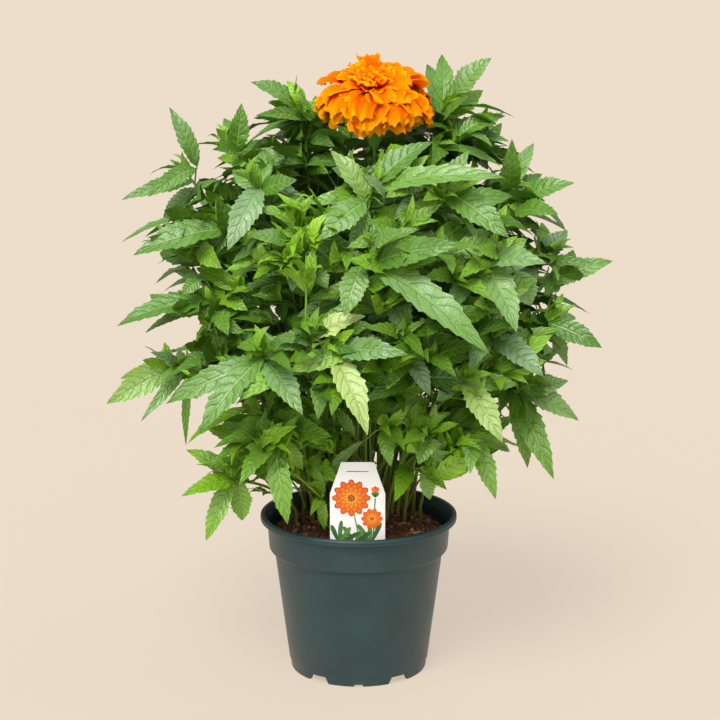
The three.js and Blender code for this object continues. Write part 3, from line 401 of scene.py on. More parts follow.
# Space: each cell that a stem or a leaf comes near is marked with the stem that owns it
GRID = (160, 160, 160)
GRID_START = (80, 80, 10)
NEAR = np.array([(i, j, k) for i in (-1, 0, 1) for j in (-1, 0, 1) for k in (-1, 0, 1)])
taken = np.full(GRID, -1)


def cells_of(points, neighbours=np.zeros((1, 3), int)):
    cells = np.floor(points / CELL).astype(int)[:, None, :] + neighbours + GRID_START
    return tuple(np.clip(cells.reshape(-1, 3), 0, np.array(GRID) - 1).T)


def mark(points, owner):
    cells = cells_of(points, NEAR)
    free = taken[cells] == -1
    taken[tuple(c[free] for c in cells)] = owner


def mark_curve(curve, owner):
    steps = math.ceil(curve_length(curve) / SAMPLE_STEP)
    mark(on_curve(curve, np.arange(steps + 1) / steps), owner)


bloom_centre = seen(*BLOOM_CENTRE)
calyx_top = bloom_centre[2] - SEAT_BELOW - GAP
label_top = seen(EYE_AXIS_PX, LABEL_TOP_PX, LABEL_DEPTH)[2]


def barred(points, bloom_room=1.0):
    """Which points come too near to the bloom, the pot, the soil or the label."""
    x, y, z = points.T
    from_axis = np.hypot(x, y)
    from_bloom = np.linalg.norm((points - bloom_centre) / BLOOM_ROOM, axis=1)
    by_rim = (from_axis > INNER_ROOM) & (from_axis < RIM_RADIUS + KEEP_OFF)
    near_rim = by_rim & (z < POT_HEIGHT + KEEP_OFF)
    near_soil = (z < SOIL_EDGE + SOIL_MOUND + KEEP_OFF) & (from_axis <= INNER_ROOM)
    ahead = LABEL_DEPTH + LABEL_ROOM[1] - y
    sight = label_top + LABEL_SIGHT * np.maximum(0, ahead - 2 * LABEL_ROOM[1])
    near_label = (np.abs(x - LABEL_CENTRE) < LABEL_ROOM[0]) & (ahead > 0) & (z < sight)
    return (from_bloom < bloom_room) | near_rim | near_soil | near_label


def clashes(leaf, owner):
    t, points = leaf_samples(leaf)
    there = taken[cells_of(points)]
    met = (there != -1) & ((there != owner) | (t > SHARED_ROOT))
    return int((barred(points) | met).sum())


def settle(options, owner, must=False):
    """The first way of placing a leaf that is clear, or the one that clashes least if it must stay."""
    best, fewest = None, math.inf
    for leaf in options:
        count = clashes(leaf, owner)
        if count < fewest:
            best, fewest = leaf, count
        if count == 0:
            break
    if fewest > 0 and not must:
        return None
    mark(leaf_samples(best)[1], owner)
    return best


def seen_leaf(spray, spec, root, owner, draw):
    """A leaf of the seen side keeps its place in the photograph and is moved in depth till clear."""
    across, down, depth, width = spec[:4]
    joint_across, joint_down, joint_depth = spray.joint
    roll = sway(draw, SEEN_ROLL)
    options = []
    for shift in DEPTH_SHIFTS:
        start = root
        if len(spec) > 4:
            near = math.hypot(spec[4] - joint_across, spec[5] - joint_down)
            far = math.hypot(across - spec[4], down - spec[5])
            start_depth = joint_depth + (depth + shift - joint_depth) * near / (near + far)
            start = seen(*spec[4:], start_depth)
        tip = seen(across, down, depth + shift)
        options.append(make_leaf(root, start, tip, width, roll, TO_EYE))
    return settle(options, owner, must=True)


def fanned_leaves(carrier, fan, draw, choose):
    """A spray of leaves round an outward shoot, each turned, raised or shortened till it is chosen."""
    shoot, steps = carrier
    outward = outward_at(shoot[3])
    flat = unit(outward * (1, 1, 0))
    side = np.cross(flat, UP)
    leaves = []
    for i in range(fan.first, fan.first + fan.count):
        pair = math.ceil(i / 2)
        hand = 1 if i % 2 else -1
        turn = hand * (pair * PAIR_TURN + sway(draw, FAN_SWAY))
        lift = outward[2] * 0.5 + (i % 3 - 1) * TIER_LIFT + sway(draw, FAN_SWAY) - DROOP
        long = fan.length * (1 - PAIR_SHORTER * pair) * vary(draw, *FAN_LENGTHS)
        wide = fan.width * vary(draw, *FAN_WIDTHS)
        roll = sway(draw, FAN_ROLL)
        root = root_on(shoot, steps, i + fan.root_shift)
        options = []
        for shorter in SHORTER:
            for more in TURNS:
                way = flat * math.cos(turn + more) + side * math.sin(turn + more)
                way = unit(way + UP * (lift + more * hand * 0.5))
                tip = root + way * long * shorter - UP * DROOP * long
                options.append(make_leaf(root, root, tip, wide * math.sqrt(shorter), roll, flat))
        leaf = choose(options)
        if leaf:
            leaves.append(leaf)
    return leaves


# Plans: every stem is laid out and marked before the first leaf is placed
Plan = namedtuple("Plan", "name foot stem shoots")


def plan_seen():
    plans = []
    for number, entry in enumerate(SEEN_STEMS, 1):
        stem = stem_curve(entry.foot, seen(*entry.sprays[0].joint))
        shoots = [shoot_curve(stem, spray.share, seen(*spray.joint)) for spray in entry.sprays[1:]]
        plans.append(Plan(f"leafy_stem_front_{number:02d}", entry.foot, stem, shoots))
    return plans


def plan_far():
    plans = []
    for i in range(FAR_STEMS):
        odd = i % 2
        turn = math.radians(FAR_START + (180 - 2 * FAR_START) * i / (FAR_STEMS - 1))
        foot = (FAR_FEET["across"] * math.cos(turn),
                FAR_FEET["back"] + FAR_FEET["deep"] * math.sin(turn))
        joints = []
        for level, degrees in enumerate(FAR_HEIGHTS):
            round_it = turn + math.radians(FAR_SWAYS[level % 2] * (1 if odd else -1))
            high = math.radians(degrees + odd * FAR_STAGGER)
            joints.append(np.array((
                FAR_CROWN["across"] * math.cos(high) * math.cos(round_it),
                FAR_CROWN["back"] + FAR_CROWN["deep"] * math.cos(high) * math.sin(round_it),
                FAR_CROWN["centre"] + FAR_CROWN["high"] * math.sin(high),
            )))
        stem = stem_curve(foot, joints.pop())
        shoots = [shoot_curve(stem, share, joint) for share, joint in zip(FAR_LEAVING, joints)]
        plans.append(Plan(f"leafy_stem_back_{i + 1:02d}", foot, stem, shoots))
    return plans


def plan_flower_stem():
    top = np.array((bloom_centre[0], bloom_centre[1], calyx_top - CALYX_HEIGHT + 2))
    start = np.array((*BLOOM_FOOT, STEM_COLLAR), float)
    stem = np.array((start, start + UP * BLOOM_STEM_PULL["foot"],
                     top - UP * BLOOM_STEM_PULL["top"], top))
    shoots = [shoot_curve(stem, share, np.array(joint, float)) for share, joint in BLOOM_SHOOTS]
    return Plan("flower_stem", BLOOM_FOOT, stem, shoots)


def carriers_of(plan):
    return [(plan.stem, STEM_STEPS)] + [(shoot, SHOOT_STEPS) for shoot in plan.shoots]


def place_leaves(seen_plans, far_plans, flower_stem):
    """The leaves that the solids have too, by stem and in the solids' order."""
    leaves = []
    for owner, (plan, entry) in enumerate(zip(seen_plans, SEEN_STEMS)):
        of_stem = []
        for i, (spray, (shoot, steps)) in enumerate(zip(entry.sprays, carriers_of(plan))):
            draw = draws(100 + owner * 10 + i)
            for number, spec in enumerate(spray.leaves):
                of_stem.append(seen_leaf(spray, spec, root_on(shoot, steps, number), owner, draw))
        leaves.append(of_stem)
    for i, plan in enumerate([*far_plans, flower_stem]):
        fan, carriers = FAR_SPRAY, carriers_of(plan)
        if plan is flower_stem:
            fan, carriers = BLOOM_SPRAY, carriers[1:]
        choose = partial(settle, owner=len(seen_plans) + i)
        of_stem = []
        for level, carrier in enumerate(carriers):
            of_stem += fanned_leaves(carrier, fan, draws(500 + i * 10 + level), choose)
        leaves.append(of_stem)
    for owner, plan in enumerate(seen_plans):
        choose = partial(settle, owner=owner)
        for i, carrier in enumerate(carriers_of(plan)[:INNER_SPRAYS]):
            leaves[owner] += fanned_leaves(carrier, INNER_SPRAY, draws(1000 + owner * 10 + i), choose)
    return leaves


# Modelling helpers
def deselect():
    bpy.ops.object.select_all(action="DESELECT")


def activate(obj):
    """Makes an object the only selected one, and the active one."""
    deselect()
    obj.select_set(True)
    bpy.context.view_layer.objects.active = obj


def edit(work):
    """Runs modelling steps on the active object in edit mode."""
    bpy.ops.object.mode_set(mode="EDIT")
    work()
    bpy.ops.object.mode_set(mode="OBJECT")


def pick(chosen=None):
    """Selects the vertices of the active object that a test chooses, or all of them."""
    obj = bpy.context.object
    bpy.ops.object.mode_set(mode="EDIT")
    bpy.ops.mesh.select_mode(type="VERT")
    bpy.ops.mesh.select_all(action="DESELECT")
    bpy.ops.object.mode_set(mode="OBJECT")
    for vertex in obj.data.vertices:
        vertex.select = chosen is None or bool(chosen(vertex.co))
    bpy.ops.object.mode_set(mode="EDIT")


def new_mesh(name, points, faces, edges=()):
    """An active object of its own mesh, with points given in millimetres."""
    mesh = bpy.data.meshes.new(name)
    mesh.from_pydata([tuple(MM * c for c in point) for point in points], list(edges), list(faces))
    obj = bpy.data.objects.new(name, mesh)
    bpy.context.collection.objects.link(obj)
    activate(obj)
    return obj


def smooth(obj, degrees):
    """Shades an object smooth, apart from edges that are sharper than an angle."""
    activate(obj)
    bpy.ops.object.shade_smooth_by_angle(angle=math.radians(degrees))


def smooth_all(obj, yes=True):
    obj.data.polygons.foreach_set("use_smooth", [yes] * len(obj.data.polygons))


def apply_place(obj):
    activate(obj)
    bpy.ops.object.transform_apply(location=True, rotation=True, scale=True)


def join(objects, name):
    activate(objects[0])
    for obj in objects[1:]:
        obj.select_set(True)
    bpy.ops.object.join()
    objects[0].name = objects[0].data.name = name
    return objects[0]


Template = namedtuple("Template", "points faces")
SHARP_RIM = 110.0      # a thin blade's two sides meet at its rim at more than this angle
TOOTH_OUT = 1.18       # a tooth's end and a notch, as shares of the blade's half width
TOOTH_IN = 0.92
TOOTH_LEAN = 0.62      # how far forward a tooth's end leans, in rows
NEARLY = 1e-3


def flat_grid(lanes, rows):
    """A flat sheet: x across from -1 to 1, in lanes to either side, and y along from 0 to 1."""
    deselect()
    bpy.ops.mesh.primitive_grid_add(x_subdivisions=2 * lanes, y_subdivisions=rows, size=2)
    obj = bpy.context.object
    pick()
    bpy.ops.transform.translate(value=(0, 1, 0))
    bpy.ops.transform.resize(value=(1, 0.5, 1), center_override=ORIGIN)
    return obj


def model_blade(teeth, lanes):
    """One flat leaf blade: x across from -1 to 1, y along from 0 to 1, z its upper or lower side.
    Its edges are sawn: each tooth leans forward and ends just behind the next notch."""
    rows = 2 * teeth + 2
    obj = flat_grid(lanes, rows)

    def on_edge(co, odd):
        row = round(co.y * rows)
        return abs(co.x) > 0.99 and 1 < row < rows and row % 2 == odd

    pick(lambda co: on_edge(co, 0))
    bpy.ops.transform.resize(value=(TOOTH_OUT, 1, 1), center_override=ORIGIN)
    bpy.ops.transform.translate(value=(0, TOOTH_LEAN / rows, 0))
    pick(lambda co: on_edge(co, 1))
    bpy.ops.transform.resize(value=(TOOTH_IN, 1, 1), center_override=ORIGIN)
    pick(lambda co: co.y > 1 - NEARLY)
    bpy.ops.mesh.merge(type="CENTER")
    return closed_blade(obj, lambda co: abs(co.x) < 0.8 and NEARLY / 10 < co.y < 1 - NEARLY)


def closed_blade(obj, inner):
    """Gives a flat sheet its lower side: a copy turned over, joined to it all along the rim."""
    pick()
    bpy.ops.mesh.duplicate()
    bpy.ops.mesh.flip_normals()
    bpy.ops.transform.translate(value=(0, 0, -2))
    pick()
    bpy.ops.transform.translate(value=(0, 0, 1))
    pick(lambda co: not inner(co))
    bpy.ops.transform.resize(value=(1, 1, 0), center_override=ORIGIN)
    pick()
    bpy.ops.mesh.remove_doubles(threshold=1e-4)
    bpy.ops.object.mode_set(mode="OBJECT")
    points = np.array([vertex.co[:] for vertex in obj.data.vertices])
    faces = [tuple(polygon.vertices) for polygon in obj.data.polygons]
    bpy.data.objects.remove(obj)
    return Template(points, faces)


class Copies:
    """Gathers bent copies of templates into one mesh, with a value for each face of each copy."""

    def __init__(self):
        self.points = []
        self.faces = []
        self.uv = []
        self.values = []
        self.count = 0

    def add(self, points, template, **values):
        self.points.append(points)
        flat = np.clip(template.points[:, :2] * (0.5, 1.0) + (0.5, 0.0), -0.5, 1.5)
        for face in template.faces:
            self.faces.append(tuple(self.count + i for i in face))
            self.uv.append(flat[list(face)])
            under = float(template.points[list(face), 2].min() < 0)
            self.values.append({**values, "under": under})
        self.count += len(points)

    def build(self, name):
        obj = new_mesh(name, np.concatenate(self.points), self.faces)
        mesh = obj.data
        layer = mesh.uv_layers.new(name="blade")
        layer.data.foreach_set("uv", np.concatenate(self.uv).ravel())
        for key in self.values[0]:
            spread = mesh.attributes.new(key, "FLOAT", "FACE")
            spread.data.foreach_set("value", [values[key] for values in self.values])
        smooth(obj, SHARP_RIM)
        return obj


BLADE_THICK = 0.16     # half of a leaf's thickness beside its rib, in mm
BLADE_FILL = (1.08, 0.38)      # its half width beside the solids': at its root, and less at its tip
BLADE_TWIST = 0.22     # radians that a blade may turn by from its root to its tip
CRINKLE = 0.075        # how far a blade is puckered between its veins, for each mm of half width
YOUNG_CRINKLE = 1.6    # how much more the youngest ones are
EDGE_WAVES = (0.06, 19)        # how much a blade's width wavers, and how often along its length
FINE_WAVES = (0.7, 3.1)        # the smaller puckers: their share of the large ones, and how much closer


def bend_blade(template, leaf, young, draw):
    """A copy of a blade along a leaf's curve, with a twist and waves of its own.
    Young ones are puckered more."""
    x, t, z = template.points.T
    centre, side, normal = leaf_frames(leaf, t)
    half = np.maximum(ROOT_HALF, blade_half(leaf, t)) * (BLADE_FILL[0] - BLADE_FILL[1] * t ** 3)
    start, wave = TURN * next(draw), 1.2 + next(draw)
    twist = BLADE_TWIST * (next(draw) - 0.5) * t
    lift = np.abs(x) * half * BLADE_FOLD + z * BLADE_THICK * (1.25 - t)
    crinkle = CRINKLE * (1 + YOUNG_CRINKLE * young)
    half = half * (1 + EDGE_WAVES[0] * np.sin(start + EDGE_WAVES[1] * t + 1.5 * x))
    lift += crinkle * half * np.sin(start + TURN * wave * t) * x
    share, closer = FINE_WAVES
    lift += share * crinkle * half * np.sin(2 * start + TURN * closer * wave * t + x) * np.abs(x)
    lift += twist * x * half
    return centre + side * (x * half)[:, None] + normal * lift[:, None]


def tubes(name, runs):
    """Round stems as one mesh. A run is its points and its radius at each of them, in mm."""
    curve = bpy.data.curves.new(name, "CURVE")
    curve.dimensions = "3D"
    curve.bevel_depth = MM
    curve.bevel_resolution = 1
    curve.use_fill_caps = True
    for points, radii in runs:
        spline = curve.splines.new("POLY")
        spline.points.add(len(points) - 1)
        for knot, point, radius in zip(spline.points, points, radii):
            knot.co = (*(MM * point), 1)
            knot.radius = radius
    obj = bpy.data.objects.new(name, curve)
    bpy.context.collection.objects.link(obj)
    activate(obj)
    bpy.ops.object.convert(target="MESH")
    smooth_all(bpy.context.object)
    return bpy.context.object


def turned(name, profile, steps):
    """A closed shape of revolution from (radius, height) pairs that start and end on the axis."""
    points = [(radius, 0, height) for radius, height in profile]
    obj = new_mesh(name, points, [], [(i, i + 1) for i in range(len(points) - 1)])

    def spin():
        bpy.ops.mesh.select_all(action="SELECT")
        bpy.ops.mesh.spin(steps=steps, angle=2 * math.pi, center=ORIGIN, axis=(0, 0, 1))
        bpy.ops.mesh.select_all(action="SELECT")
        bpy.ops.mesh.remove_doubles(threshold=1e-6)
        bpy.ops.mesh.normals_make_consistent(inside=False)

    edit(spin)
    return obj


def cut_with(obj, cutters):
    """Cuts shapes out of an object, and removes them."""
    for cutter in cutters:
        modifier = obj.modifiers.new("cut", "BOOLEAN")
        modifier.operation = "DIFFERENCE"
        modifier.solver = "EXACT"
        modifier.object = cutter
        activate(obj)
        bpy.ops.object.modifier_apply(modifier=modifier.name)
        bpy.data.objects.remove(cutter)


# Small growth that only this script has: young leaves, tufts, side sprays and thin stems
FINE_CELL = 2.0
FINE_SIZE = (220, 220, 220)
FINE_START = (110, 110, 10)
FINE_GRID = np.zeros(FINE_SIZE, bool)
CROWN_MIDDLE = np.array((0.0, 0.0, 225.0))
CROWN_PARTS = (36, 18)         # round the crown, and from its foot to its top
crown_reach = np.zeros(CROWN_PARTS)
REACH_BESIDE = 0.2             # how much of a part's reach comes from the part on either side
LOW_FROM = 0.55                # parts that look further down than this, where 1 is straight down,
LOW_REACH = (118.0, 128.0)     # reach at least this far down, or this far, from the crown's middle,
LOW_FRONT = -0.3               # unless they face further to the front than this sine
INSIDE_CROWN = 0.93            # small leaves keep inside this share of the crown's reach,
FEW_OUTSIDE = 0.25             # apart from this share of each
SMALL_BLOOM_ROOM = 0.85        # small leaves may come nearer to the bloom
LABEL_MARGIN = (2.0, 6.0)      # beside the label and over it, where no small leaf hangs before it
FREE_ROOT = 0.3                # share of a blade that may meet anything
FEW_CLASHES = 0.12             # share of a small leaf that may meet others, beyond its root,
SPRIG_END_CLASHES = 0.35       # of a sprig's end leaflet,
SPRAY_CLASHES = 0.6            # of a leaf in a side spray's tuft,
SHOOT_CLASHES = 0.9            # and of one in any other tuft

SPRIGS_ON_STEM = (0.1, 0.16, 0.22, 0.3, 0.38, 0.46, 0.54, 0.64, 0.74, 0.83, 0.92)
SPRIGS_ON_SHOOT = (0.3, 0.5, 0.68, 0.85)
SPRIG_LENGTH = (20.0, 26.0)    # least, and how much more
LOW_SPRIG = 0.55               # how much smaller the lowest ones are
SPRIG_HEIGHTS = (105, 190)     # from the height where they are that small to where they are full
SPRIG_FLOOR = 104              # none ends lower
STALK_RISE = 0.14              # how far a stalk arches up, for each mm of its length
LEAFY_SHARE = 0.8              # share of a stalk that has leaflets
LEAFLET_GAP = 8.0
LEAFLET_LENGTH = (13.0, 27.0)
LEAFLET_WIDTH = (0.23, 0.1)    # as shares of the length: least, and how much more
TUFT_LEAVES = 7
TUFT_LENGTH = (9, 14)
TUFT_WIDTH = (0.2, 0.12)
LEAF_TONES = {"large": (0.32, 0.55), "middle": (0.15, 0.6), "small": (0.0, 0.55)}    # least, range
CROWN_LOW = (125.0, 200.0)     # leaves this low in the crown, up to this height,
LOW_YOUNG = (0.6, 0.05)        # are yellower by this, down to this
THIN_STEM_FEET = 0.65          # thin stems rise nearer to the pot's axis than their main one
THIN_STEM_RADII = (0.8, 0.5)
SHOOT_RADII = (0.9, 0.6)
STALK_RADII = (0.65, 0.4)
GOLDEN_TURN = math.pi * (3 - math.sqrt(5))
SIDE_SPRAYS = 280
SIDE_SPRAY = Fan(0, 8, 40, 10.5)
SIDE_SPRAY_LOW = 1.62          # how far down they go, where 2 is straight down
SIDE_SPRAY_FAR = (0.6, 0.9)    # how far out in the crown they end
LEAST_OUT = 30.0
CROWN_FOOT = 118.0
LOW_SPRAYS = 60                # more young growth low at the sides and back
LOW_SPRAY_HEIGHT = (116.0, 160.0)
LOW_SPRAY_OUT = (34.0, 88.0)

# Faded leaves of the seen side, by the pixel of their tip, and how far they have faded
FADED_LEAVES = {(366, 316): 0.95, (367.8, 435.8): 0.7, (502.9, 443.4): 0.5, (106.4, 404): 0.2,
                (120.3, 378.5): 0.25, (330, 150): 0.2, (300, 391): 0.25}
# Bright young tufts of the seen side: pixel across, pixel down and depth
BRIGHT_TUFTS = (
    (297, 222, -88), (312, 246, -94), (287, 262, -90), (306, 284, -98), (322, 226, -90),
    (283, 238, -86), (214, 150, -30), (236, 186, -52), (222, 176, -48), (252, 196, -66),
    (243, 158, -44), (206, 190, -40), (331, 166, -72), (318, 178, -80), (302, 172, -72),
    (345, 186, -84), (458, 146, -62), (470, 124, -40), (452, 166, -72), (476, 168, -66),
    (446, 124, -50), (488, 190, -70), (512, 200, -60), (392, 440, -72), (408, 452, -66),
    (376, 452, -64), (430, 462, -56), (356, 452, -60), (300, 448, -66), (284, 468, -58),
    (262, 452, -60), (330, 452, -50), (508, 372, -70), (478, 404, -70), (236, 332, -78),
    (536, 300, -50), (228, 140, -30), (262, 160, -60), (214, 208, -50), (270, 142, -40),
    (282, 184, -74), (250, 130, -20), (560, 262, -30), (196, 380, -50), (214, 408, -52),
    (446, 476, -50), (458, 452, -56),
)
BRIGHT_TIERS = ((0, 1.2), (3, 1.6), (8, 2.0))  # how far below the end they sit, and how large they are
NEAREST_TUFTS = -87.0          # tufts nearer to the eye than this stand free of the crown,
NEAREST_TIERS = ((0, 0.9), (7, 1.4))           # with smaller leaves
# Places of the seen side where more young leaves close the gaps: pixel across, pixel down and depth
FILLED_GAPS = (
    (200, 345, -50), (214, 362, -56), (232, 374, -60), (246, 350, -66), (262, 386, -62),
    (230, 396, -56), (206, 424, -50), (250, 412, -58), (276, 402, -64), (290, 424, -60),
    (226, 442, -50), (262, 440, -54), (345, 402, -66), (372, 416, -66), (396, 404, -68),
    (352, 440, -50), (408, 430, -56), (330, 420, -56), (270, 296, -50), (281, 300, -36),
    (264, 304, -28), (290, 310, -50), (255, 294, -45), (276, 290, -62), (215, 255, -60),
    (235, 275, -68), (255, 300, -72), (222, 300, -62), (275, 250, -84), (262, 270, -80),
    (290, 310, -84), (240, 320, -66), (432, 150, -20), (440, 136, -5), (424, 158, -34),
    (405, 156, -36), (385, 160, -44), (362, 158, -44), (342, 152, -34), (330, 140, -18),
    (322, 128, -2), (350, 165, -50), (415, 168, -50), (310, 115, 10), (345, 124, 4),
    (337, 134, -10), (384, 147, -30), (372, 150, -36),
)


def fine_cells(points):
    cells = np.floor(points / FINE_CELL).astype(int) + FINE_START
    return tuple(np.clip(cells, 0, np.array(FINE_SIZE) - 1).T)


def crown_parts(points):
    """The part of the crown that each point looks out through, and how far from the middle it is."""
    x, y, z = (points - CROWN_MIDDLE).T
    far = np.sqrt(x * x + y * y + z * z)
    around = (np.arctan2(y, x) / (2 * math.pi) + 0.5) * CROWN_PARTS[0]
    height = np.clip(((z / far + 1) / 2 * CROWN_PARTS[1]).astype(int), 0, CROWN_PARTS[1] - 1)
    return (around.astype(int) % CROWN_PARTS[0], height), far


def measure_crown(leaves):
    """Notes the space that the placed leaves take, and how far they reach each way."""
    global crown_reach
    for leaf in leaves:
        points = leaf_samples(leaf)[1]
        FINE_GRID[fine_cells(points)] = True
        parts, far = crown_parts(points)
        np.maximum.at(crown_reach, parts, far)
    beside = np.roll(crown_reach, 1, 0) + np.roll(crown_reach, -1, 0)
    crown_reach = (1 - 2 * REACH_BESIDE) * crown_reach + REACH_BESIDE * beside
    around = ((np.arange(CROWN_PARTS[0]) + 0.5) / CROWN_PARTS[0] - 0.5) * 2 * math.pi
    down = 1 - 2 * (np.arange(CROWN_PARTS[1]) + 0.5) / CROWN_PARTS[1]
    for height, share in enumerate(down):
        if share > LOW_FROM:
            least = min(LOW_REACH[0] / share, LOW_REACH[1]) * (np.sin(around) > LOW_FRONT)
            crown_reach[:, height] = np.maximum(crown_reach[:, height], least)


def hides_label(points):
    x, y, z = points.T
    beside = np.abs(x - LABEL_CENTRE) < LABEL_WIDTH / 2 + LABEL_MARGIN[0]
    return (beside & (y < LABEL_DEPTH) & (z < label_top + LABEL_MARGIN[1])).any()


def fits(leaf, few=FEW_CLASHES, inside=True):
    """Whether a small leaf hardly meets what is there already, and stays inside the crown."""
    t, points = leaf_samples(leaf)
    parts, far = crown_parts(points)
    outside = inside and (far > INSIDE_CROWN * crown_reach[parts]).mean() > FEW_OUTSIDE
    if outside or barred(points, SMALL_BLOOM_ROOM).any() or hides_label(points):
        return False
    if (FINE_GRID[fine_cells(points)] & (t > FREE_ROOT)).mean() > few:
        return False
    FINE_GRID[fine_cells(points)] = True
    return True


def first_that_fits(options):
    return next((leaf for leaf in options if fits(leaf)), None)


def curl(leaf, amount):
    """Arches a leaf more, with its tip hanging down."""
    more = np.outer((0, 0.7, 1.0, 0.1), leaf.face) * amount * leaf.length
    hang = np.outer((0, 0, 0.2, 1), UP) * abs(amount) * leaf.length * 0.6
    return leaf._replace(curve=leaf.curve + more - hang)


def stalk_curve(start, way, long):
    rise = UP * STALK_RISE * long
    return np.array((start, start + way * 0.33 * long + rise, start + way * 0.7 * long + rise,
                     start + way * long))


def sprig(start, way, long, size, draw):
    """A young compound leaf: leaflets in pairs along a thin stalk, and one at its end."""
    stalk = stalk_curve(start, way, long)
    lookout = outward_at(stalk[3])
    face = unit(UP * 0.7 + lookout - way * way.dot(lookout))
    pairs = int(long * LEAFY_SHARE / LEAFLET_GAP / size)
    leaves = []
    for i in range(pairs + 1):
        t = 1.0 - LEAFY_SHARE * i / (pairs + 1)
        root = on_curve(stalk, t)[0]
        ahead = along_curve(stalk, min(t, 0.99))[0]
        side = unit(np.cross(ahead, face))
        least, most = LEAFLET_LENGTH
        longest = least + (most - least) * math.sin(3.1 * (0.25 + 0.6 * t))
        for hand in (0,) if i == 0 else (-1, 1):
            out = side * hand * vary(draw, 0.8, 0.5) + face * (0.9 * next(draw) - 0.5)
            length = longest * size * vary(draw, 0.75, 0.5) * (1.25 if i == 0 else 1)
            width = length * vary(draw, *LEAFLET_WIDTH)
            roll = 0.9 * (next(draw) - 0.5)
            tip = root + unit(ahead * 0.9 + out) * length
            leaf = make_leaf(root, root, tip, width, roll, lookout)
            leaves.append(curl(leaf, 0.35 * (next(draw) - 0.3)))
    if not fits(leaves[0], SPRIG_END_CLASHES):
        return stalk, []
    return stalk, leaves[:1] + [leaf for leaf in leaves[1:] if fits(leaf)]


def tuft(end, outward, draw, large, few, inside=True):
    """Young narrow leaves that stand round the end of a shoot."""
    side = unit(np.cross(outward, UP))
    over = np.cross(side, outward)
    leaves = []
    for i in range(TUFT_LEAVES):
        turn = TURN * (i / TUFT_LEAVES + 0.1 * next(draw))
        spread = vary(draw, 0.3, 0.9)
        way = unit(outward + UP * 0.3 + spread * (side * math.cos(turn) + over * math.sin(turn)))
        long = vary(draw, *TUFT_LENGTH) * large
        width = long * vary(draw, *TUFT_WIDTH)
        leaf = make_leaf(end, end, end + way * long, width, next(draw), outward)
        leaf = curl(leaf, 0.4 * (next(draw) - 0.25))
        if fits(leaf, few, inside):
            leaves.append(leaf)
    return leaves


def shoot_to(plans, end):
    """A shoot to a place in the crown, from the nearest stem or shoot below it, and its owner."""
    shares = np.linspace(0.1, 0.95, 18)
    best, nearest = None, math.inf
    for owner, plan in enumerate(plans):
        for curve, _ in carriers_of(plan):
            points = on_curve(curve, shares)
            above = points[:, 2] > end[2] - 4
            gaps = np.linalg.norm(points - end, axis=1) + np.where(above, 60, 0)
            if gaps.min() < nearest:
                nearest = gaps.min()
                best = owner, curve, shares[gaps.argmin()]
    owner, curve, share = best
    return owner, shoot_curve(curve, share, end)


def side_spray_ends():
    """Places spread evenly through the outer crown, on all its sides."""
    draw = draws(17)
    near, far = SIDE_SPRAY_FAR
    for i in range(SIDE_SPRAYS):
        up = 1 - SIDE_SPRAY_LOW * (i + 0.5) / SIDE_SPRAYS
        turn = i * GOLDEN_TURN
        flat = math.sqrt(1 - up * up)
        way = np.array((flat * math.cos(turn), flat * math.sin(turn), up))
        part, _ = crown_parts((CROWN_MIDDLE + way)[None])
        out = crown_reach[part][0] * (near + (far - near) * next(draw) ** 0.7)
        end = CROWN_MIDDLE + way * out
        if out > LEAST_OUT and end[2] > CROWN_FOOT and not barred(end[None]).any():
            yield end


def low_spray_ends():
    """Places low in the crown, at its sides and back."""
    draw = draws(23)
    (near, far), (low, high) = LOW_SPRAY_OUT, LOW_SPRAY_HEIGHT
    for i in range(LOW_SPRAYS):
        turn, share = i * GOLDEN_TURN, next(draw)
        out = near + (far - near) * next(draw) * (0.55 + 0.45 * share)
        end = np.array((out * math.cos(turn), out * math.sin(turn), low + (high - low) * share))
        if math.sin(turn) > LOW_FRONT and not barred(end[None]).any():
            yield end


def thin_stems(plan, joints, draw):
    """Thin stems that rise from the soil beside the main one to where young leaves sit."""
    for joint in joints:
        turn = TURN * next(draw)
        gap = vary(draw, 2.5, 5)
        foot = (THIN_STEM_FEET * plan.foot[0] + gap * math.cos(turn),
                THIN_STEM_FEET * plan.foot[1] + gap * math.sin(turn))
        if math.hypot(*foot) < SOIL_RADIUS - 6 and abs(foot[1] - LABEL_DEPTH) > 6:
            yield stem_curve(foot, joint)


def petiole_curve(leaf):
    """A leaf's stalk leaves its stem upward and runs into the blade's rib."""
    far = np.linalg.norm(leaf.start - leaf.root)
    into = along_curve(leaf.curve, 0.01)[0]
    rising = leaf.root + unit(leaf.start - leaf.root + UP * 0.7 * far) * 0.35 * far
    return np.array((leaf.root, rising, leaf.start - into * 0.35 * far, leaf.start))


def run_along(curve, thick, thin, count=14):
    """Points along a curve, with the radius of a stem that grows thinner."""
    t = np.linspace(0, 1, count)
    return on_curve(curve, t), thick + (thin - thick) * t


def lowness(point):
    """How much yellower a leaf is for being low in the crown."""
    return float(np.interp(point[2], CROWN_LOW, LOW_YOUNG))


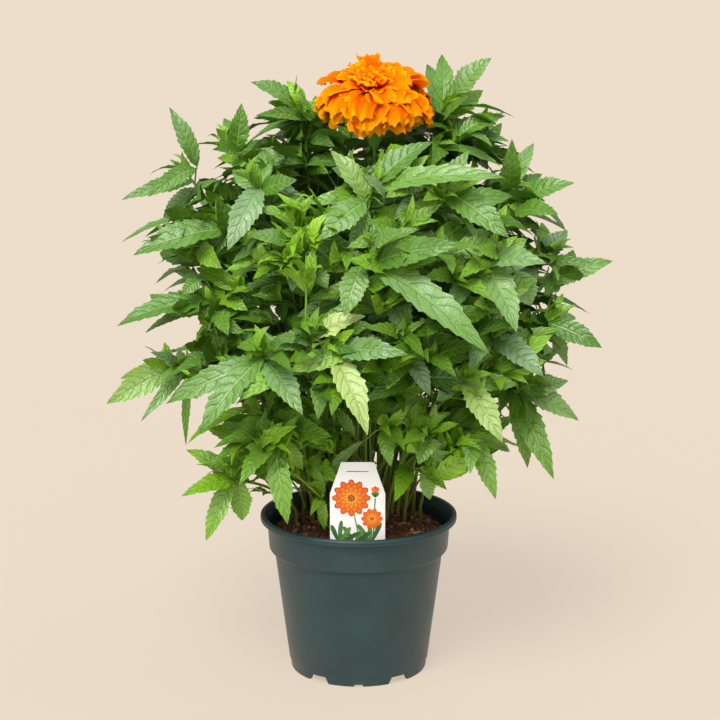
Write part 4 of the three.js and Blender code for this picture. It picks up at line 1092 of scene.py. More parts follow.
def dress_stem(plan, owner, leaves, listed, side_shoots, bright_shoots, bright_carriers):
    """One leafy stem: the solids' stem, shoots and leaves in full detail, and its small growth."""
    draw = draws(3000 + owner)
    copies = Copies()
    foot = np.array((*plan.foot, STEM_FOOT), float)
    points, radii = run_along(plan.stem, 0.6 * STEM_RADIUS, 0.7 * STEM_TOP_RADIUS, 20)
    runs = [(np.vstack([foot, points]), np.append(radii[0], radii))]
    runs += [run_along(shoot, SHOOT_RADIUS * 0.85, SHOOT_RADIUS * 0.6, 12) for shoot in plan.shoots]

    def put(leaf, kind, young, pale=0.0):
        least, more = LEAF_TONES[kind]
        tone = next(draw) * more + least
        copies.add(bend_blade(templates[kind], leaf, young, draw), templates[kind],
                   tone=tone, young=young, pale=pale)
        if np.linalg.norm(leaf.start - leaf.root) > 1:
            runs.append(run_along(petiole_curve(leaf), PETIOLE_HALF * 0.8, PETIOLE_HALF * 0.6, 6))

    for number, leaf in enumerate(leaves):
        if number < len(listed):
            pale = FADED_LEAVES.get(listed[number], 0.0)
            put(leaf, "large", lowness(leaf.root) + 0.2 * next(draw) ** 2 + 0.5 * pale, pale)
        else:
            put(leaf, "middle", lowness(leaf.root) + 0.2 * next(draw) ** 2)

    for shoot in bright_shoots:
        outward = unit(outward_at(shoot[3]) + along_curve(shoot, 0.95)[0])
        free = shoot[3][1] < NEAREST_TUFTS
        bright_leaves = [
            leaf for back, large in (NEAREST_TIERS if free else BRIGHT_TIERS)
            for leaf in tuft(shoot[3] - outward * back, outward, draw, large, SHOOT_CLASHES, not free)]
        if bright_leaves:
            runs.append(run_along(shoot, *SHOOT_RADII, 8))
        for leaf in bright_leaves:
            put(leaf, "small", vary(draw, 0.75, 0.4))

    for shoot in side_shoots:
        young = 0.75 * next(draw) ** 1.5
        spray = fanned_leaves((shoot, SHOOT_STEPS), SIDE_SPRAY, draw, first_that_fits)
        end_leaves = tuft(shoot[3], outward_at(shoot[3]), draw, 1.0, SPRAY_CLASHES)
        if not end_leaves:
            continue
        runs.append(run_along(shoot, *SHOOT_RADII, 8))
        for leaf in spray:
            put(leaf, "small", lowness(leaf.root) + young * vary(draw, 0.7, 0.3))
        for leaf in end_leaves:
            put(leaf, "small", 0.3 + 0.7 * young + 0.3 * next(draw))

    ends = []
    for number, (curve, _) in enumerate(carriers_of(plan)):
        bright = number in bright_carriers
        if number or plan.name != "flower_stem":
            for leaf in tuft(curve[3], outward_at(curve[3]), draw, 1.1, SHOOT_CLASHES, False):
                put(leaf, "small", 0.9 if bright else vary(draw, 0.35, 0.6))
        for share in SPRIGS_ON_SHOOT if number else SPRIGS_ON_STEM:
            start, ahead = on_curve(curve, share)[0], along_curve(curve, share)[0]
            outward = outward_at(start)
            side = unit(np.cross(ahead, outward))
            way = outward * vary(draw, 0.5, 0.6) + side * (2.6 * next(draw) - 1.3) + ahead * 0.6
            way = unit(way)
            size = float(np.interp(start[2], SPRIG_HEIGHTS, (LOW_SPRIG, 1)))
            long = vary(draw, *SPRIG_LENGTH) * size
            tip = start + way * long
            young = lowness(start) + vary(draw, 0.15, 0.75) * (0.9 if bright else 0.6)
            under_bloom = plan.name == "flower_stem" and share > 0.7
            if tip[2] < SPRIG_FLOOR or barred(tip[None]).any() or under_bloom:
                continue
            stalk, leaflets = sprig(start, way, long, size, draw)
            if leaflets:
                runs.append(run_along(stalk, *STALK_RADII, 6))
                ends.append(stalk[3])
            for leaf in leaflets:
                put(leaf, "small", young)
    runs += [run_along(curve, *THIN_STEM_RADII) for curve in thin_stems(plan, ends[::2], draw)]
    foliage = copies.build(plan.name + ".leaves")
    foliage.data.materials.append(materials["leaf"])
    wood = tubes(plan.name + ".stems", runs)
    wood.data.materials.append(materials["stem"])
    return join([foliage, wood], plan.name + ".growth")


# Materials
MULTIPLY, ADD, MULTIPLY_ADD, SUBTRACT, MAXIMUM, ABSOLUTE, GREATER, PINGPONG = (
    {"operation": kind} for kind in ("MULTIPLY", "ADD", "MULTIPLY_ADD", "SUBTRACT", "MAXIMUM",
                                     "ABSOLUTE", "GREATER_THAN", "PINGPONG"))
SOFT = {"interpolation_type": "SMOOTHSTEP"}
COLOURS = {"data_type": "RGBA"}
VEIN_PAIRS = 8.0       # side ribs on each half of a leaf
VEIN_LEAN = 0.5        # how many rib gaps a side rib runs forward, straight, on its way to the edge
VEIN_BOW = 0.9         # and how many it bows forward near the edge


def colour(code):
    """An sRGB hex colour as linear red, green, blue and alpha."""
    parts = [int(code[i:i + 2], 16) / 255 for i in (1, 3, 5)]
    return (*(p / 12.92 if p <= 0.04045 else ((p + 0.055) / 1.055) ** 2.4 for p in parts), 1.0)


def connect(tree, node, inputs):
    """Sets a node's inputs to values, sockets or what other nodes give: a mix gives its colour."""
    for key, value in inputs.items():
        if isinstance(value, bpy.types.Node):
            value = value.outputs[2 if value.bl_idname == "ShaderNodeMix" else 0]
        if isinstance(value, bpy.types.NodeSocket):
            tree.links.new(value, node.inputs[key])
        else:
            node.inputs[key].default_value = value


def add(tree, kind, settings=None, inputs=None):
    """A node with its settings and its inputs. The stops of a colour ramp are positions and colours."""
    node = tree.nodes.new("ShaderNode" + kind)
    for key, value in (settings or {}).items():
        if key == "stops":
            ramp = node.color_ramp.elements
            ramp[0].position, ramp[0].color = value[0][0], colour(value[0][1])
            ramp[1].position, ramp[1].color = value[-1][0], colour(value[-1][1])
            for position, code in value[1:-1]:
                ramp.new(position).color = colour(code)
        else:
            setattr(node, key, value)
    connect(tree, node, inputs or {})
    return node


def new_material(name, **sockets):
    """A material with constants on its shader's sockets, given with underscores for spaces."""
    material = bpy.data.materials.new(name)
    material.use_nodes = True
    tree = material.node_tree
    shader = tree.nodes["Principled BSDF"]
    for key, value in sockets.items():
        shader.inputs[key.replace("_", " ").title().replace("Ior", "IOR")].default_value = value
    return material, tree, shader


def leaf_material():
    # Marigold leaf: thin living tissue whose waxy skin gives a broad pale gloss. A light rib runs up its
    # middle, thin side ribs are sunk on the upper face, which swells between them, and stand out below.
    material, tree, shader = new_material("marigold_leaf", ior=1.5, specular_ior_level=0.75)
    parts = add(tree, "SeparateXYZ", None, {0: add(tree, "UVMap", {"uv_map": "blade"})})
    along = parts.outputs[1]
    tone, young, pale, under = (add(tree, "Attribute", {"attribute_name": key}).outputs["Fac"]
                                for key in ("tone", "young", "pale", "under"))
    place = add(tree, "TexCoord").outputs["Object"]
    patches = add(tree, "TexNoise", None, {"Vector": place, "Scale": 1 / (9 * MM), "Detail": 3.0})
    pucker = add(tree, "TexNoise", None, {"Vector": place, "Scale": 1 / (2.6 * MM), "Detail": 2.0})
    net = add(tree, "TexVoronoi", {"feature": "DISTANCE_TO_EDGE"},
              {"Vector": place, "Scale": 1 / (1.8 * MM)})

    # Side ribs: lines that sweep forward, with the blade swollen between them
    centred = add(tree, "Math", MULTIPLY_ADD, {0: parts, 1: 2.0, 2: -1.0})
    across = add(tree, "Math", ABSOLUTE, {0: centred})
    bow = add(tree, "Math", MULTIPLY_ADD, {0: across, 1: VEIN_BOW, 2: VEIN_LEAN})
    lean = add(tree, "Math", MULTIPLY, {0: across, 1: bow})
    shift = add(tree, "Math", MULTIPLY_ADD, {0: patches, 1: 1.6, 2: tone})
    half = add(tree, "Math", GREATER, {0: centred, 1: 0.0})
    offset = add(tree, "Math", MULTIPLY_ADD, {0: half, 1: 0.4, 2: shift})
    order = add(tree, "Math", MULTIPLY_ADD, {0: along, 1: VEIN_PAIRS, 2: offset})
    sweep = add(tree, "Math", SUBTRACT, {0: order, 1: lean})
    between = add(tree, "Math", PINGPONG, {0: sweep, 1: 0.5})
    line = add(tree, "MapRange", SOFT, {0: between, 1: 0.0, 2: 0.1, 3: 1.0, 4: 0.0})
    inward = add(tree, "MapRange", None, {0: across, 1: 0.3, 2: 1.0, 3: 1.0, 4: 0.25})
    vein = add(tree, "Math", MULTIPLY, {0: line, 1: inward})
    swell = add(tree, "MapRange", SOFT, {0: between, 1: 0.0, 2: 0.35, 3: 0.0, 4: 0.5})

    # Middle rib and the groove on either side of it
    core = add(tree, "MapRange", SOFT, {0: across, 1: 0.03, 2: 0.09, 3: 1.0, 4: 0.0})
    taper = add(tree, "MapRange", None, {0: along, 1: 0.1, 2: 0.9, 3: 1.0, 4: 0.15})
    rib = add(tree, "Math", MULTIPLY, {0: core, 1: taper})
    flank = add(tree, "MapRange", SOFT, {0: across, 1: 0.06, 2: 0.2, 3: 0.75, 4: 0.0})
    grooves = add(tree, "Math", MAXIMUM, {0: vein, 1: flank})

    # Colour: by tone, yellower where young, faded where pale, lighter below, partly its own paler
    # green and partly painted light shining through the leaf, and darkened in grooves by painted shade
    shade = add(tree, "Math", MULTIPLY_ADD, {0: patches, 1: 0.6, 2: tone})
    scaled = add(tree, "Math", MULTIPLY, {0: shade, 1: 0.72})
    top = add(tree, "ValToRGB", {"stops": (
        (0.15, "#265204"), (0.4, "#3E6E0C"), (0.65, "#56842E"), (0.95, "#829F7E"))}, {0: scaled})
    fresh = add(tree, "Mix", COLOURS, {0: young, 6: top, 7: colour("#88BE1C")})
    faded = add(tree, "Mix", COLOURS, {0: pale, 6: fresh, 7: colour("#AFC474")})
    # The lower face's colour: partly its own paler green, partly painted light that shines through the
    # leaf
    low = add(tree, "Mix", COLOURS, {0: young, 6: colour("#5C8A2C"), 7: colour("#86B82A")})
    turn = add(tree, "Math", MULTIPLY, {0: under, 1: 0.8})
    faced = add(tree, "Mix", COLOURS, {0: turn, 6: faded, 7: low})
    # Painted shade: the sunk side ribs and the grooves beside the middle rib are darkened in colour
    dark = add(tree, "Math", MULTIPLY, {0: grooves, 1: 0.45})
    lined = add(tree, "Mix", COLOURS, {0: dark, 6: faced, 7: colour("#1E4414")})
    pale_rib = add(tree, "Mix", COLOURS, {0: young, 6: colour("#80A838"), 7: colour("#A8CC50")})
    ribbed = add(tree, "Mix", COLOURS, {0: rib, 6: lined, 7: pale_rib})

    # Relief: swells, the net of fine veins and puckers, turned inside out on the lower face
    rough = add(tree, "MapRange", None, {0: pucker, 1: 0.3, 2: 0.7, 3: 0.36, 4: 0.5})
    cells = add(tree, "MapRange", SOFT, {0: net, 1: 0.0, 2: 0.35, 3: 0.0, 4: 0.3})
    bulge = add(tree, "Math", ADD, {0: swell, 1: cells})
    uneven = add(tree, "Math", MULTIPLY_ADD, {0: pucker, 1: 1.1, 2: bulge})
    relief = add(tree, "Math", SUBTRACT, {0: uneven, 1: grooves})
    side = add(tree, "Math", MULTIPLY_ADD, {0: under, 1: -1.7, 2: 1.0})
    height = add(tree, "Math", MULTIPLY, {0: relief, 1: side})
    bump = add(tree, "Bump", None, {"Strength": 0.8, "Distance": 0.32 * MM, "Height": height})
    connect(tree, shader, {"Base Color": ribbed, "Roughness": rough, "Normal": bump})
    return material


def stem_material():
    # Marigold stem: smooth juicy green stalk with an uneven skin, olive and reddish near the soil
    material, tree, shader = new_material("marigold_stem", roughness=0.45, ior=1.4)
    place = add(tree, "TexCoord").outputs["Object"]
    patches = add(tree, "TexNoise", None, {"Vector": place, "Scale": 1 / (12 * MM), "Detail": 3.0})
    height = add(tree, "SeparateXYZ", None, {0: place}).outputs[2]
    rise = add(tree, "MapRange", None, {0: height, 1: 85 * MM, 2: 190 * MM, 3: 0.0, 4: 0.8})
    shade = add(tree, "Math", MULTIPLY_ADD, {0: patches, 1: 0.45, 2: rise})
    ramp = add(tree, "ValToRGB", {"stops": (
        (0.12, "#5C4624"), (0.32, "#74702C"), (0.6, "#6E8A30"), (1.0, "#6A9630"))}, {0: shade})
    skin = add(tree, "TexNoise", None, {"Vector": place, "Scale": 1 / (0.8 * MM)})
    bump = add(tree, "Bump", None, {"Strength": 0.3, "Distance": 0.2 * MM, "Height": skin})
    connect(tree, shader, {"Base Color": ramp, "Normal": bump})
    return material


def petal_material():
    # Marigold petal: velvety, finely lined along its length, golden at its rim, and orange-red towards
    # its root, where the darker red is painted shade
    material, tree, shader = new_material(
        "marigold_petal", roughness=0.8, ior=1.36, specular_ior_level=0.05,
        subsurface_weight=0.3, subsurface_radius=(1.0, 0.35, 0.08), subsurface_scale=2 * MM)
    uv = add(tree, "UVMap", {"uv_map": "blade"})
    parts = add(tree, "SeparateXYZ", None, {0: uv})
    tone = add(tree, "Attribute", {"attribute_name": "tone"}).outputs["Fac"]
    stretched = add(tree, "Mapping", None, {0: uv, "Scale": (16.0, 1.2, 1.0)})
    lines = add(tree, "TexNoise", None, {"Vector": stretched, "Scale": 1.0, "Detail": 3.0})
    spread = add(tree, "Math", MULTIPLY_ADD, {0: lines, 1: 0.22, 2: parts.outputs[1]})
    shift = add(tree, "Math", MULTIPLY_ADD, {0: tone, 1: 0.36, 2: -0.3})
    along = add(tree, "Math", ADD, {0: spread, 1: shift})
    # The ramp's deep red low end, towards the petal's root, is painted shade
    ramp = add(tree, "ValToRGB", {"stops": (
        (0.15, "#C03000"), (0.38, "#E64C00"), (0.62, "#F86A00"), (0.84, "#FF8600"),
        (1.0, "#FFA208"))}, {0: along})
    centred = add(tree, "Math", MULTIPLY_ADD, {0: parts, 1: 2.0, 2: -1.0})
    across = add(tree, "Math", ABSOLUTE, {0: centred})
    border = add(tree, "Math", MAXIMUM, {0: across, 1: parts.outputs[1]})
    rim = add(tree, "MapRange", None, {0: border, 1: 0.86, 2: 1.0, 3: 0.0, 4: 0.6})
    edged = add(tree, "Mix", COLOURS, {0: rim, 6: ramp, 7: colour("#FFAC14")})
    bump = add(tree, "Bump", None, {"Strength": 0.8, "Distance": 0.5 * MM, "Height": lines})
    connect(tree, shader, {"Base Color": edged, "Normal": bump})
    return material


def pot_material():
    # Polypropylene pot, injection moulded: an even satin skin with fine pale specks and soft wear
    material, tree, shader = new_material("moulded_polypropylene", ior=1.49)
    place = add(tree, "TexCoord").outputs["Object"]
    cloud = add(tree, "TexNoise", None, {"Vector": place, "Scale": 1 / (25 * MM), "Detail": 4.0})
    grain = add(tree, "TexNoise", None, {"Vector": place, "Scale": 1 / (0.7 * MM), "Detail": 2.0})
    specks = add(tree, "MapRange", None, {0: grain, 1: 0.66, 2: 0.74, 3: 0.0, 4: 0.35})
    base = add(tree, "ValToRGB", {"stops": ((0.3, "#1E383C"), (0.7, "#254246"))}, {0: cloud})
    mixed = add(tree, "Mix", COLOURS, {0: specks, 6: base, 7: colour("#7C8E90")})
    rough = add(tree, "MapRange", None, {0: cloud, 1: 0.3, 2: 0.7, 3: 0.34, 4: 0.46})
    bump = add(tree, "Bump", None, {"Strength": 0.25, "Distance": 0.1 * MM, "Height": grain})
    connect(tree, shader, {"Base Color": mixed, "Roughness": rough, "Normal": bump})
    return material


def soil_material():
    # Potting soil: damp peat in crumbs of a few millimetres. Its colour follows the crumbs' relief, with
    # painted shade nearly black in its hollows and painted highlight on the crests
    material, tree, shader = new_material("damp_peat_soil", roughness=0.9)
    place = add(tree, "TexCoord").outputs["Object"]
    crumb = add(tree, "TexNoise", None, {"Vector": place, "Scale": 1 / (3 * MM), "Detail": 6.0})
    tone = add(tree, "Attribute", {"attribute_name": "tone"}).outputs["Fac"]
    # The crumb noise that shapes the relief also sets the colour: painted shade in hollows, painted
    # highlight on crests
    shade = add(tree, "Math", MULTIPLY_ADD, {0: tone, 1: 0.5, 2: crumb})
    ramp = add(tree, "ValToRGB", {"stops": (
        (0.3, "#34190E"), (0.55, "#55301D"), (0.8, "#7A4E34"), (1.0, "#A87E5E"))}, {0: shade})
    bump = add(tree, "Bump", None, {"Strength": 1.0, "Distance": 1.0 * MM, "Height": crumb})
    connect(tree, shader, {"Base Color": ramp, "Normal": bump})
    return material


def clouded_material(name, size, stops, **sockets):
    """A plain material whose colour wavers softly over a given size in millimetres."""
    material, tree, shader = new_material(name, **sockets)
    place = add(tree, "TexCoord").outputs["Object"]
    cloud = add(tree, "TexNoise", None, {"Vector": place, "Scale": 1 / (size * MM)})
    connect(tree, shader, {"Base Color": add(tree, "ValToRGB", {"stops": stops}, {0: cloud})})
    return material


def label_material():
    # Polystyrene label, cut from thin white sheet: smooth and slightly glossy, with a weak painted glow
    # that lightens it where it stands in the leaves' shade
    return clouded_material(
        "white_polystyrene", 15, ((0.3, "#F6F4F3"), (0.7, "#FDFCFB")), roughness=0.32, ior=1.58,
        emission_color=colour("#FFFFFF"), emission_strength=0.1)


def ink_material():
    # Printing ink on the label: flat colours with a little mottling
    material, tree, shader = new_material("printing_ink", roughness=0.4)
    ink = add(tree, "Attribute", {"attribute_name": "ink"}).outputs["Fac"]
    place = add(tree, "TexCoord").outputs["Object"]
    mottle = add(tree, "TexNoise", None, {"Vector": place, "Scale": 1 / (0.9 * MM)})
    shade = add(tree, "Math", MULTIPLY_ADD, {0: mottle, 1: 0.06, 2: ink})
    ramp = add(tree, "ValToRGB", {"stops": (
        (0.03, "#2F5E2A"), (0.2, "#6BA048"), (0.24, "#B5482A"), (0.38, "#5A2010"), (0.48, "#D04A04"),
        (0.56, "#EE6200"), (0.75, "#FB7E10"), (0.97, "#FFA632"))}, {0: shade})
    connect(tree, shader, {"Base Color": ramp})
    return material


def floor_material():
    # Backdrop paper, lit from behind as well: plain matt beige with weak shadows
    return clouded_material(
        "matt_backdrop_paper", 400, ((0.3, "#776F65"), (0.7, "#787066")), roughness=0.9,
        specular_ior_level=0.1, emission_color=colour(BACKDROP), emission_strength=0.66)


# Bloom. For each ring of petals: how many, how far out and how high their ends are, how wide they
# are, how high their roots are, and how far they arch before they bend down to their ends
PetalRing = namedtuple("PetalRing", "count reach rise width root arch")
PETAL_RINGS = (
    PetalRing(12, 28, -15, 18, -6, 13), PetalRing(11, 32, -13, 20, -5, 14),
    PetalRing(10, 33, -8, 20, -3, 12), PetalRing(10, 31, -2, 19, -2, 10),
    PetalRing(9, 27, 5, 19, 0, 7), PetalRing(9, 22, 10, 17, 1, 4), PetalRing(8, 16, 13, 16, 2, 1),
    PetalRing(7, 11, 14, 14, 3, -1), PetalRing(5, 6, 14, 12, 4, -2), PetalRing(3, 3, 13, 10, 5, 0),
)
BLOOM_TILT = (0.05, 0.45)   # of the outermost ring and of the inner half, towards the front
PETAL_LANES = 10
PETAL_ROWS = 12
PETAL_THICK = 0.2
PETAL_REACHES = (0.8, 0.27)    # least share of the ring's reach, and how much more there may be
PETAL_WIDTHS = (0.8, 0.4)
PETAL_SWAY = (10, 7)           # how far ends and arches stray from their ring's, on long petals
LONG_PETAL = 25.0
ROOT_OUT = 1.5                 # how far petals start from the bloom's axis, and how much they rise there
CORE_RADIUS = 8.5
HALF_TURN, QUARTER_TURN = 3.1416, 1.5708


def model_sheet(lanes, rows):
    """A plain closed sheet: x across from -1 to 1, y along from 0 to 1, z its upper or lower side."""
    obj = flat_grid(lanes, rows)
    return closed_blade(obj, lambda co: abs(co.x) < 0.99 and NEARLY < co.y < 1 - NEARLY)


def rotation(angle, first, second):
    """A matrix that turns rows of points about one axis, from the first to the second other one."""
    matrix = np.eye(3)
    matrix[first, first] = matrix[second, second] = math.cos(angle)
    matrix[first, second], matrix[second, first] = math.sin(angle), -math.sin(angle)
    return matrix


def bend_petal(template, ring, turn, draw):
    """A petal from the bloom's core: narrow at its root, wide, ruffled and lobed at its end."""
    x, t, z = template.points.T
    out = np.array((math.cos(turn), math.sin(turn), 0.0))
    side = np.array((-math.sin(turn), math.cos(turn), 0.0))
    reach = ring.reach * vary(draw, *PETAL_REACHES)
    long = min(1, reach / LONG_PETAL)
    rise = ring.rise + sway(draw, PETAL_SWAY[0]) * long
    width = ring.width * vary(draw, *PETAL_WIDTHS)
    arch = ring.arch + sway(draw, PETAL_SWAY[1]) * long
    curve = np.array((
        out * ROOT_OUT + UP * ring.root,
        out * reach * 0.42 + UP * (0.3 * ring.root + 0.7 * (rise + arch) + ROOT_OUT),
        out * reach * 0.97 + UP * (rise + arch),
        out * reach + UP * rise,
    ))
    phase, turns, frill = TURN * next(draw), vary(draw, 1.2, 1.0), TURN * next(draw)

    # The end: rounded, with lobes
    lobes = vary(draw, 2.6, 1.6)
    round_end = 1 - vary(draw, 0.2, 0.1) * (1 - np.sqrt(1 - 0.8 * x * x))
    scallops = 0.03 * np.cos(phase + x * lobes * HALF_TURN) + 0.015 * np.cos(frill + 9 * x)
    share = t * (1 - (1 - round_end + scallops) * np.clip((t - 0.4) / 0.6, 0, 1) ** 1.6)
    centre = on_curve(curve, share)
    tangent = along_curve(curve, np.clip(share, 0.01, 0.99))
    normal = np.cross(tangent, side)
    normal /= np.linalg.norm(normal, axis=1)[:, None]

    # The width, and the folds and frills that grow towards the end
    half = width / 2 * (0.2 + 0.8 * np.sin(QUARTER_TURN * np.clip(t * 1.25, 0, 1)) ** 1.1)
    narrower = np.sqrt(1 - 0.36 * np.clip((t - 0.75) / 0.25, 0, 1) ** 2)
    half *= narrower * (1 + 0.05 * np.sin(frill + 16 * t))
    folds = (0.4 + 0.06 * width) * vary(draw, 0.6, 0.9) * t ** 1.2
    lift = z * PETAL_THICK + folds * np.sin(phase + x * turns * HALF_TURN)
    lift += 0.13 * half * x * x * (2 * next(draw) - 0.8)
    lift += 1.5 * t ** 3 * np.sin(frill + x * 7.5 + 2 * t) + 0.9 * t ** 5 * np.sin(2 * frill + x * 12)
    step = 0.1 * half * t ** 3 * np.sin(frill + x * 5) + 0.12 * half * np.sin(phase) * t * t
    return centre + side * (x * half + step)[:, None] + normal * lift[:, None]


def make_bloom():
    draw = draws(71)
    template = model_sheet(PETAL_LANES, PETAL_ROWS)
    copies = Copies()
    for number, ring in enumerate(PETAL_RINGS):
        inner = min(1, number / (len(PETAL_RINGS) // 2))
        tilt = rotation(BLOOM_TILT[0] + (BLOOM_TILT[1] - BLOOM_TILT[0]) * inner ** 1.5, 1, 2)
        for i in range(ring.count):
            turn = TURN * (i + 0.5 * (number % 2)) / ring.count + sway(draw, 0.5)
            points = bend_petal(template, ring, turn, draw) @ tilt + bloom_centre
            tone = 0.5 * number / (len(PETAL_RINGS) - 1) + 0.5 * next(draw)
            copies.add(points, template, tone=tone)
    bloom = copies.build("bloom.petals")
    bloom.data.materials.append(materials["petal"])
    deselect()
    bpy.ops.mesh.primitive_uv_sphere_add(
        segments=24, ring_count=12, radius=CORE_RADIUS * MM, location=bloom_centre * MM)
    core = bpy.context.object
    core.data.materials.append(materials["petal"])
    apply_place(core)
    return join([bloom, core], "bloom.head")


CALYX_PROFILE = ((0, 0), (1.6, 0), (2.0, 0.8), (3.4, 3.2), (4.8, 6), (5.8, 9), (6.3, 12), (6.1, 14),
                 (5.4, 15), (4.4, 14.2), (0, 14))
CALYX_STEPS = 40
CALYX_RIBS = 10
CALYX_RIB = 0.035      # how far they stand out, as a share of the cup's radius


def make_calyx():
    """A ribbed green cup that holds the bloom."""
    cup = turned("flower_stem.calyx", CALYX_PROFILE, CALYX_STEPS)
    for vertex in cup.data.vertices:
        turn = math.atan2(vertex.co.y, vertex.co.x)
        vertex.co.xy *= 1 + CALYX_RIB * math.cos(CALYX_RIBS * turn)
    cup.location = MM * Vector((bloom_centre[0], bloom_centre[1], calyx_top - CALYX_HEIGHT))
    cup.data.materials.append(materials["stem"])
    apply_place(cup)
    smooth(cup, 60)
    return cup


# Pot, from the middle of its floor outward and up its side, and back down on its inside
POT_OUTSIDE = (
    (0, FLOOR_BOTTOM), (38.75, FLOOR_BOTTOM), (38.75, 0.35), (39.1, 0), (40.9, 0), (41.45, 0.35),
    (41.65, 0.9), (42.1, 5.3), (42.45, 5.8), (42.8, 6.3), (BODY_END_RADIUS, BODY_END),
    (51.5, 73.9), (52.0, 74.6), (53.2, 75.3), (54.1, 75.9), (54.6, 76.7), (54.75, 77.6),
    (BAND_END_RADIUS, 93.2), (56.1, 93.75), (56.6, 93.95), (59.4, 93.95), (59.85, 94.2), (60, 94.7),
    (60, 95.25), (59.72, 95.45), (59.72, 95.6), (60, 95.8), (60, 96.6), (59.8, 97.2), (59.3, 97.6),
    (58.8, POT_HEIGHT), (57.9, POT_HEIGHT), (57.4, 97.5), (57.1, 96.9),
)
POT_INSIDE = ((54.6, 92.8), (54.4, 92.0), (53.2, 78.2), (52.8, 77.2), (50.2, 74.6), (49.8, 73.5),
              (40.9, FLOOR_TOP + 0.6), (40.3, FLOOR_TOP), (0, FLOOR_TOP))
DRILL_LENGTH = 10.0


def bar_across(width, slope, height, degrees):
    """A bar through the foot's ring, narrower at its top."""
    deselect()
    bpy.ops.mesh.primitive_cube_add(size=1, location=ORIGIN)
    bar = bpy.context.object
    bar.scale = (width * MM, NOTCH_REACH * MM, (height + 1) * MM)
    bar.location = (0, -FOOT_RADIUS * MM, (height - 1) / 2 * MM)
    apply_place(bar)
    for vertex in bar.data.vertices:
        if vertex.co.z > 0:
            vertex.co.x -= math.copysign(slope * MM, vertex.co.x)
    bar.rotation_euler.z = math.radians(degrees)
    apply_place(bar)
    return bar


def drill(radius, from_axis, degrees):
    """A round bar through the pot's floor."""
    turn = math.radians(degrees)
    deselect()
    bpy.ops.mesh.primitive_cylinder_add(
        vertices=DRAIN_STEPS, radius=radius * MM, depth=DRILL_LENGTH * MM,
        location=(from_axis * math.sin(turn) * MM, -from_axis * math.cos(turn) * MM,
                  FLOOR_TOP / 2 * MM))
    apply_place(bpy.context.object)
    return bpy.context.object


def make_pot():
    pot = turned("pot.shell", POT_OUTSIDE + POT_INSIDE, POT_STEPS)
    cutters = [bar_across(NICK_WIDTH, NICK_SLOPE, NICK_HEIGHT, 0), drill(MIDDLE_DRAIN_RADIUS, 0, 0)]
    for degrees in NOTCH_ANGLES:
        cutters.append(bar_across(NOTCH_WIDTH, NOTCH_SLOPE, NOTCH_HEIGHT, degrees))
        cutters.append(drill(DRAIN_RADIUS, DRAIN_CIRCLE, degrees))
    cut_with(pot, cutters)
    pot.data.materials.append(materials["pot"])
    smooth(pot, 40)
    return pot


# Soil: a plug whose surface is laid out flat and then given its height
SOIL_SIDE = ((0, 5.95), (39.4, 5.95), (48.9, 73.0), (49.4, 74.4), (52.0, 77.2), (52.7, 78.4),
             (53.3, 85.2), (53.0, 86.2))
SOIL_STEP = 1.3
SOIL_STEPS = 140
FLAT_SURFACE = 200.0
CRUMBS = 1300
CHIPS = 40             # long pieces of bark among the crumbs
CRUMB_SIZE = (0.35, 1.7)
CRUMB_ROOM = 52.6      # inside the pot's wall
CRUMB_OFF_LABEL = 2.5


def soil_height(x, y):
    """The uneven surface of the soil, which ends evenly at its edge."""
    share = min(1.0, math.hypot(x, y) / SOIL_RADIUS)
    lumps = 0.9 * math.sin(x * 0.31 + 1.3) * math.cos(y * 0.27) + 0.6 * math.sin(x * 0.9 - y * 0.7)
    fine = 1.1 * noise.noise(Vector((x, y, 3)) / 3.1) + 0.6 * noise.noise(Vector((x, y, 9)) / 1.4)
    return SOIL_EDGE + SOIL_MOUND * (1 - share * share) + (lumps + fine) * (1 - share ** 6)


def make_soil():
    radii = [SOIL_RADIUS + 2.2 - SOIL_STEP * i for i in range(int((SOIL_RADIUS + 1) / SOIL_STEP))]
    surface = tuple((radius, FLAT_SURFACE) for radius in (*radii, 0))
    plug = turned("soil.plug", SOIL_SIDE + surface, SOIL_STEPS)
    for vertex in plug.data.vertices:
        if vertex.co.z > FLAT_SURFACE / 2 * MM:
            x, y, _ = vertex.co / MM
            vertex.co.z = soil_height(x, y) * MM
    smooth_all(plug)
    draw = draws(31)
    deselect()
    bpy.ops.mesh.primitive_uv_sphere_add(segments=7, ring_count=5, radius=1)
    ball = bpy.context.object
    lump = Template(np.array([v.co[:] for v in ball.data.vertices]),
                    [tuple(p.vertices) for p in ball.data.polygons])
    bpy.data.objects.remove(ball)
    copies = Copies()
    for i in range(CRUMBS + CHIPS):
        chip = i >= CRUMBS
        turn, radius = TURN * next(draw), (SOIL_RADIUS + 1) * math.sqrt(next(draw))
        x, y = radius * math.cos(turn), radius * math.sin(turn)
        size = CRUMB_SIZE[0] + CRUMB_SIZE[1] * next(draw) ** 3
        stretch = np.array((1.0, vary(draw, 0.8, 0.4), vary(draw, 0.7, 0.3)))
        if chip:
            size, stretch = vary(draw, 1.1, 1), np.array((vary(draw, 3.2, 2), 0.8, 0.5))
        seed = 10.0 * next(draw)
        shape = np.array([p * (0.8 + 0.55 * noise.noise(Vector(p) * 1.3 + Vector((seed, i, 0))))
                          for p in lump.points]) * stretch * size
        yaw, tip = TURN * next(draw), sway(draw, 0.5)
        shape = shape @ rotation(tip, 0, 2) @ rotation(yaw, 0, 1)
        shape += np.array((x, y, soil_height(x, y) + 0.35 * size))
        from_axis = np.hypot(*shape[:, :2].T).max()
        if from_axis < CRUMB_ROOM and abs(y - LABEL_DEPTH) > CRUMB_OFF_LABEL + size:
            copies.add(shape, lump, tone=vary(draw, 0.7, 0.3) if chip else next(draw) ** 1.5)
    crumbs = copies.build("soil.crumbs")
    for part in (plug, crumbs):
        part.data.materials.append(materials["soil"])
    return plug, crumbs


